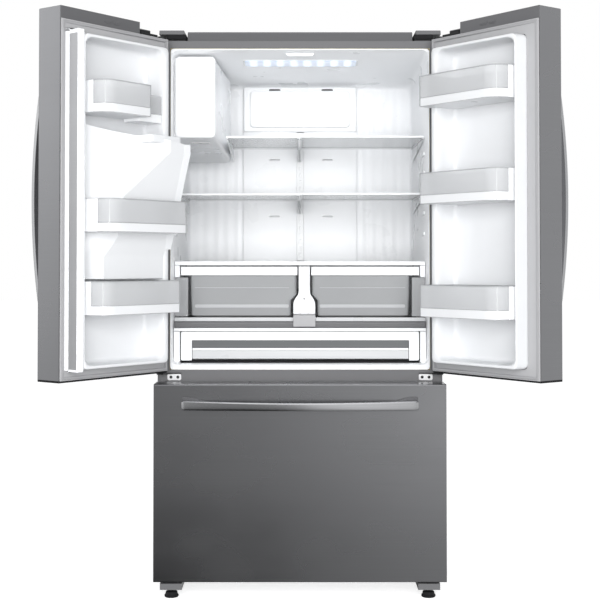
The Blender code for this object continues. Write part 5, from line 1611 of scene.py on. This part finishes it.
def build_machinery():
    """Compressor, condenser, fan and drain tray behind the freezer's step, and the duct's fan."""
    low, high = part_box("compressor")
    centre = ((low.x + high.x) / 2, (low.y + high.y) / 2)
    radius = (high.x - low.x) / 2
    tall = high.z - low.z
    shape = ((0, 0.78), (0.03, 0.90), (0.10, 0.97), (0.44, 0.98), (0.45, 1), (0.50, 1), (0.51, 0.97),
             (0.70, 0.95), (0.84, 0.84), (0.94, 0.58), (0.99, 0.22), (1, 0.10))
    profile = [(low.z + tall * share, radius * width) for share, width in shape]
    can = turned(profile, "Z", centre, 64)
    piece("compressor_can", can, "black_steel", nodes=["compressor"])
    pipes = []
    for offset, rise in ((0.030, 0.150), (-0.020, 0.110)):
        start = Vector((centre[0] + radius * 0.90, centre[1] + offset, low.z + 0.060))
        points = [start + Vector((0.030 * share, 0.02 * math.sin(math.pi * share), rise * share ** 1.5))
                  for share in [step / 12 for step in range(13)]]
        pipes.append(tube(points, 0.0032))
    piece("compressor_pipes", joined(pipes), "copper")
    low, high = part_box("condenser")
    count = 30
    fins = []
    for index in range(count):
        x = low.x + 0.006 + index * (high.x - low.x - 0.013) / (count - 1)
        fins.append(block((x, x + 0.0010), (low.y, high.y), (low.z, high.z)))
    piece("condenser_fins", joined(fins), "fins", nodes=["condenser"])
    coils = []
    for row in range(5):
        z = low.z + 0.020 + row * 0.037
        for depth in (low.y + 0.045, high.y - 0.045):
            coils.append(tube([(low.x + 0.0005, depth, z), (high.x - 0.0005, depth, z)], 0.0042, 12))
    piece("condenser_tubes", joined(coils), "copper")
    keep_node("drain_pan", "black", 0.0008)
    keep_node("condenser_fan", "black", 0.0006)
    keep_node("fridge_fan", "white", 0.0006)


# ---------------------------------------------------------------- studio

def build_studio():
    """Pale floor, soft lamps and a surround."""
    half = 30.0
    floor_mesh = loft([ring(rectangle(-half, half, -half, half), "Z", -0.02),
                       ring(rectangle(-half, half, -half, half), "Z", -0.0002)])
    floor = bpy.data.objects.new("floor", floor_mesh)
    bpy.context.scene.collection.objects.link(floor)
    floor_mesh.materials.append(floor_material())
    floor.visible_glossy = False
    floor.visible_diffuse = False
    build_world()
    for lamp in LAMPS:
        add_lamp(*lamp)


def floor_material():
    """Pale matte floor that glows a little, so that it stays pale far away."""
    material = bpy.data.materials.new("studio_floor")
    material.use_nodes = True
    shader = material.node_tree.nodes["Principled BSDF"]
    shader.inputs["Base Color"].default_value = (0.85, 0.85, 0.85, 1)
    shader.inputs["Roughness"].default_value = 0.9
    shader.inputs["Specular IOR Level"].default_value = 0.0
    shader.inputs["Emission Color"].default_value = (1, 1, 1, 1)
    shader.inputs["Emission Strength"].default_value = FLOOR_GLOW
    return material


def directed_light(tree, base, ramps):
    """Background whose strength is a base and ramps (direction, low, high, gain) that add to it."""
    light = tree.nodes.new("ShaderNodeBackground")
    light.inputs["Color"].default_value = (0.98, 0.99, 1.0, 1)
    coordinates = tree.nodes.new("ShaderNodeTexCoord")
    start = tree.nodes.new("ShaderNodeValue")
    start.outputs["Value"].default_value = base
    strength = start.outputs["Value"]
    for direction, low, high, gain in ramps:
        along = tree.nodes.new("ShaderNodeVectorMath")
        along.operation = "DOT_PRODUCT"
        along.inputs[1].default_value = direction
        spread = tree.nodes.new("ShaderNodeMapRange")
        spread.interpolation_type = "SMOOTHSTEP"
        spread.inputs["From Min"].default_value = low
        spread.inputs["From Max"].default_value = high
        spread.inputs["To Max"].default_value = gain
        total = tree.nodes.new("ShaderNodeMath")
        total.operation = "ADD"
        tree.links.new(coordinates.outputs["Generated"], along.inputs[0])
        tree.links.new(along.outputs["Value"], spread.inputs["Value"])
        tree.links.new(strength, total.inputs[0])
        tree.links.new(spread.outputs["Result"], total.inputs[1])
        strength = total.outputs["Value"]
    tree.links.new(strength, light.inputs["Strength"])
    return light


def build_world():
    """White to the eye; the light that it gives to surfaces changes with direction."""
    world = bpy.data.worlds.new("studio")
    bpy.context.scene.world = world
    world.use_nodes = True
    tree = world.node_tree
    tree.nodes.clear()
    output = tree.nodes.new("ShaderNodeOutputWorld")
    white = tree.nodes.new("ShaderNodeBackground")
    white.inputs["Color"].default_value = (1, 1, 1, 1)
    matte = directed_light(tree, MATTE_BASE, MATTE_RAMPS)
    glossy = directed_light(tree, GLOSSY_BASE, GLOSSY_RAMPS)
    path = tree.nodes.new("ShaderNodeLightPath")
    shown = matte.outputs["Background"]
    for ray, background in (("Is Glossy Ray", glossy), ("Is Camera Ray", white)):
        mix = tree.nodes.new("ShaderNodeMixShader")
        tree.links.new(path.outputs[ray], mix.inputs["Fac"])
        tree.links.new(shown, mix.inputs[1])
        tree.links.new(background.outputs["Background"], mix.inputs[2])
        shown = mix.outputs["Shader"]
    tree.links.new(shown, output.inputs["Surface"])


def add_lamp(name, at, target, size, power):
    """Soft rectangular lamp that looks at a point."""
    data = bpy.data.lights.new(name, "AREA")
    data.shape = "RECTANGLE"
    data.size, data.size_y = size
    data.energy = power
    lamp = bpy.data.objects.new(name, data)
    bpy.context.scene.collection.objects.link(lamp)
    lamp.visible_glossy = False
    lamp.location = at
    lamp.rotation_euler = (Vector(target) - Vector(at)).to_track_quat("-Z", "Y").to_euler()


def build_camera():
    """Camera in front of the middle, a little over a metre up."""
    data = bpy.data.cameras.new("camera")
    data.lens = CAMERA_LENS
    data.sensor_width = CAMERA_SENSOR
    data.shift_y = CAMERA_SHIFT
    camera = bpy.data.objects.new("camera", data)
    bpy.context.scene.collection.objects.link(camera)
    camera.location = (0.0, FLANGE - CAMERA_BACK, CAMERA_HEIGHT)
    camera.rotation_euler = (math.radians(90 + CAMERA_TILT), 0, 0)
    bpy.context.scene.camera = camera
    bpy.context.scene.view_settings.view_transform = "Standard"


def corners(box):
    """A box as plain lists."""
    return [list(corner) for corner in box]


for build in (build_camera, build_doors, build_case, build_feet, build_top, build_mid_hinges,
              build_fridge_liner, build_back_panels, build_duct, build_lamp, build_ice_maker,
              build_shelves, build_wall_supports, build_crispers, build_pantry, build_freezer,
              build_machinery, build_studio):
    build()
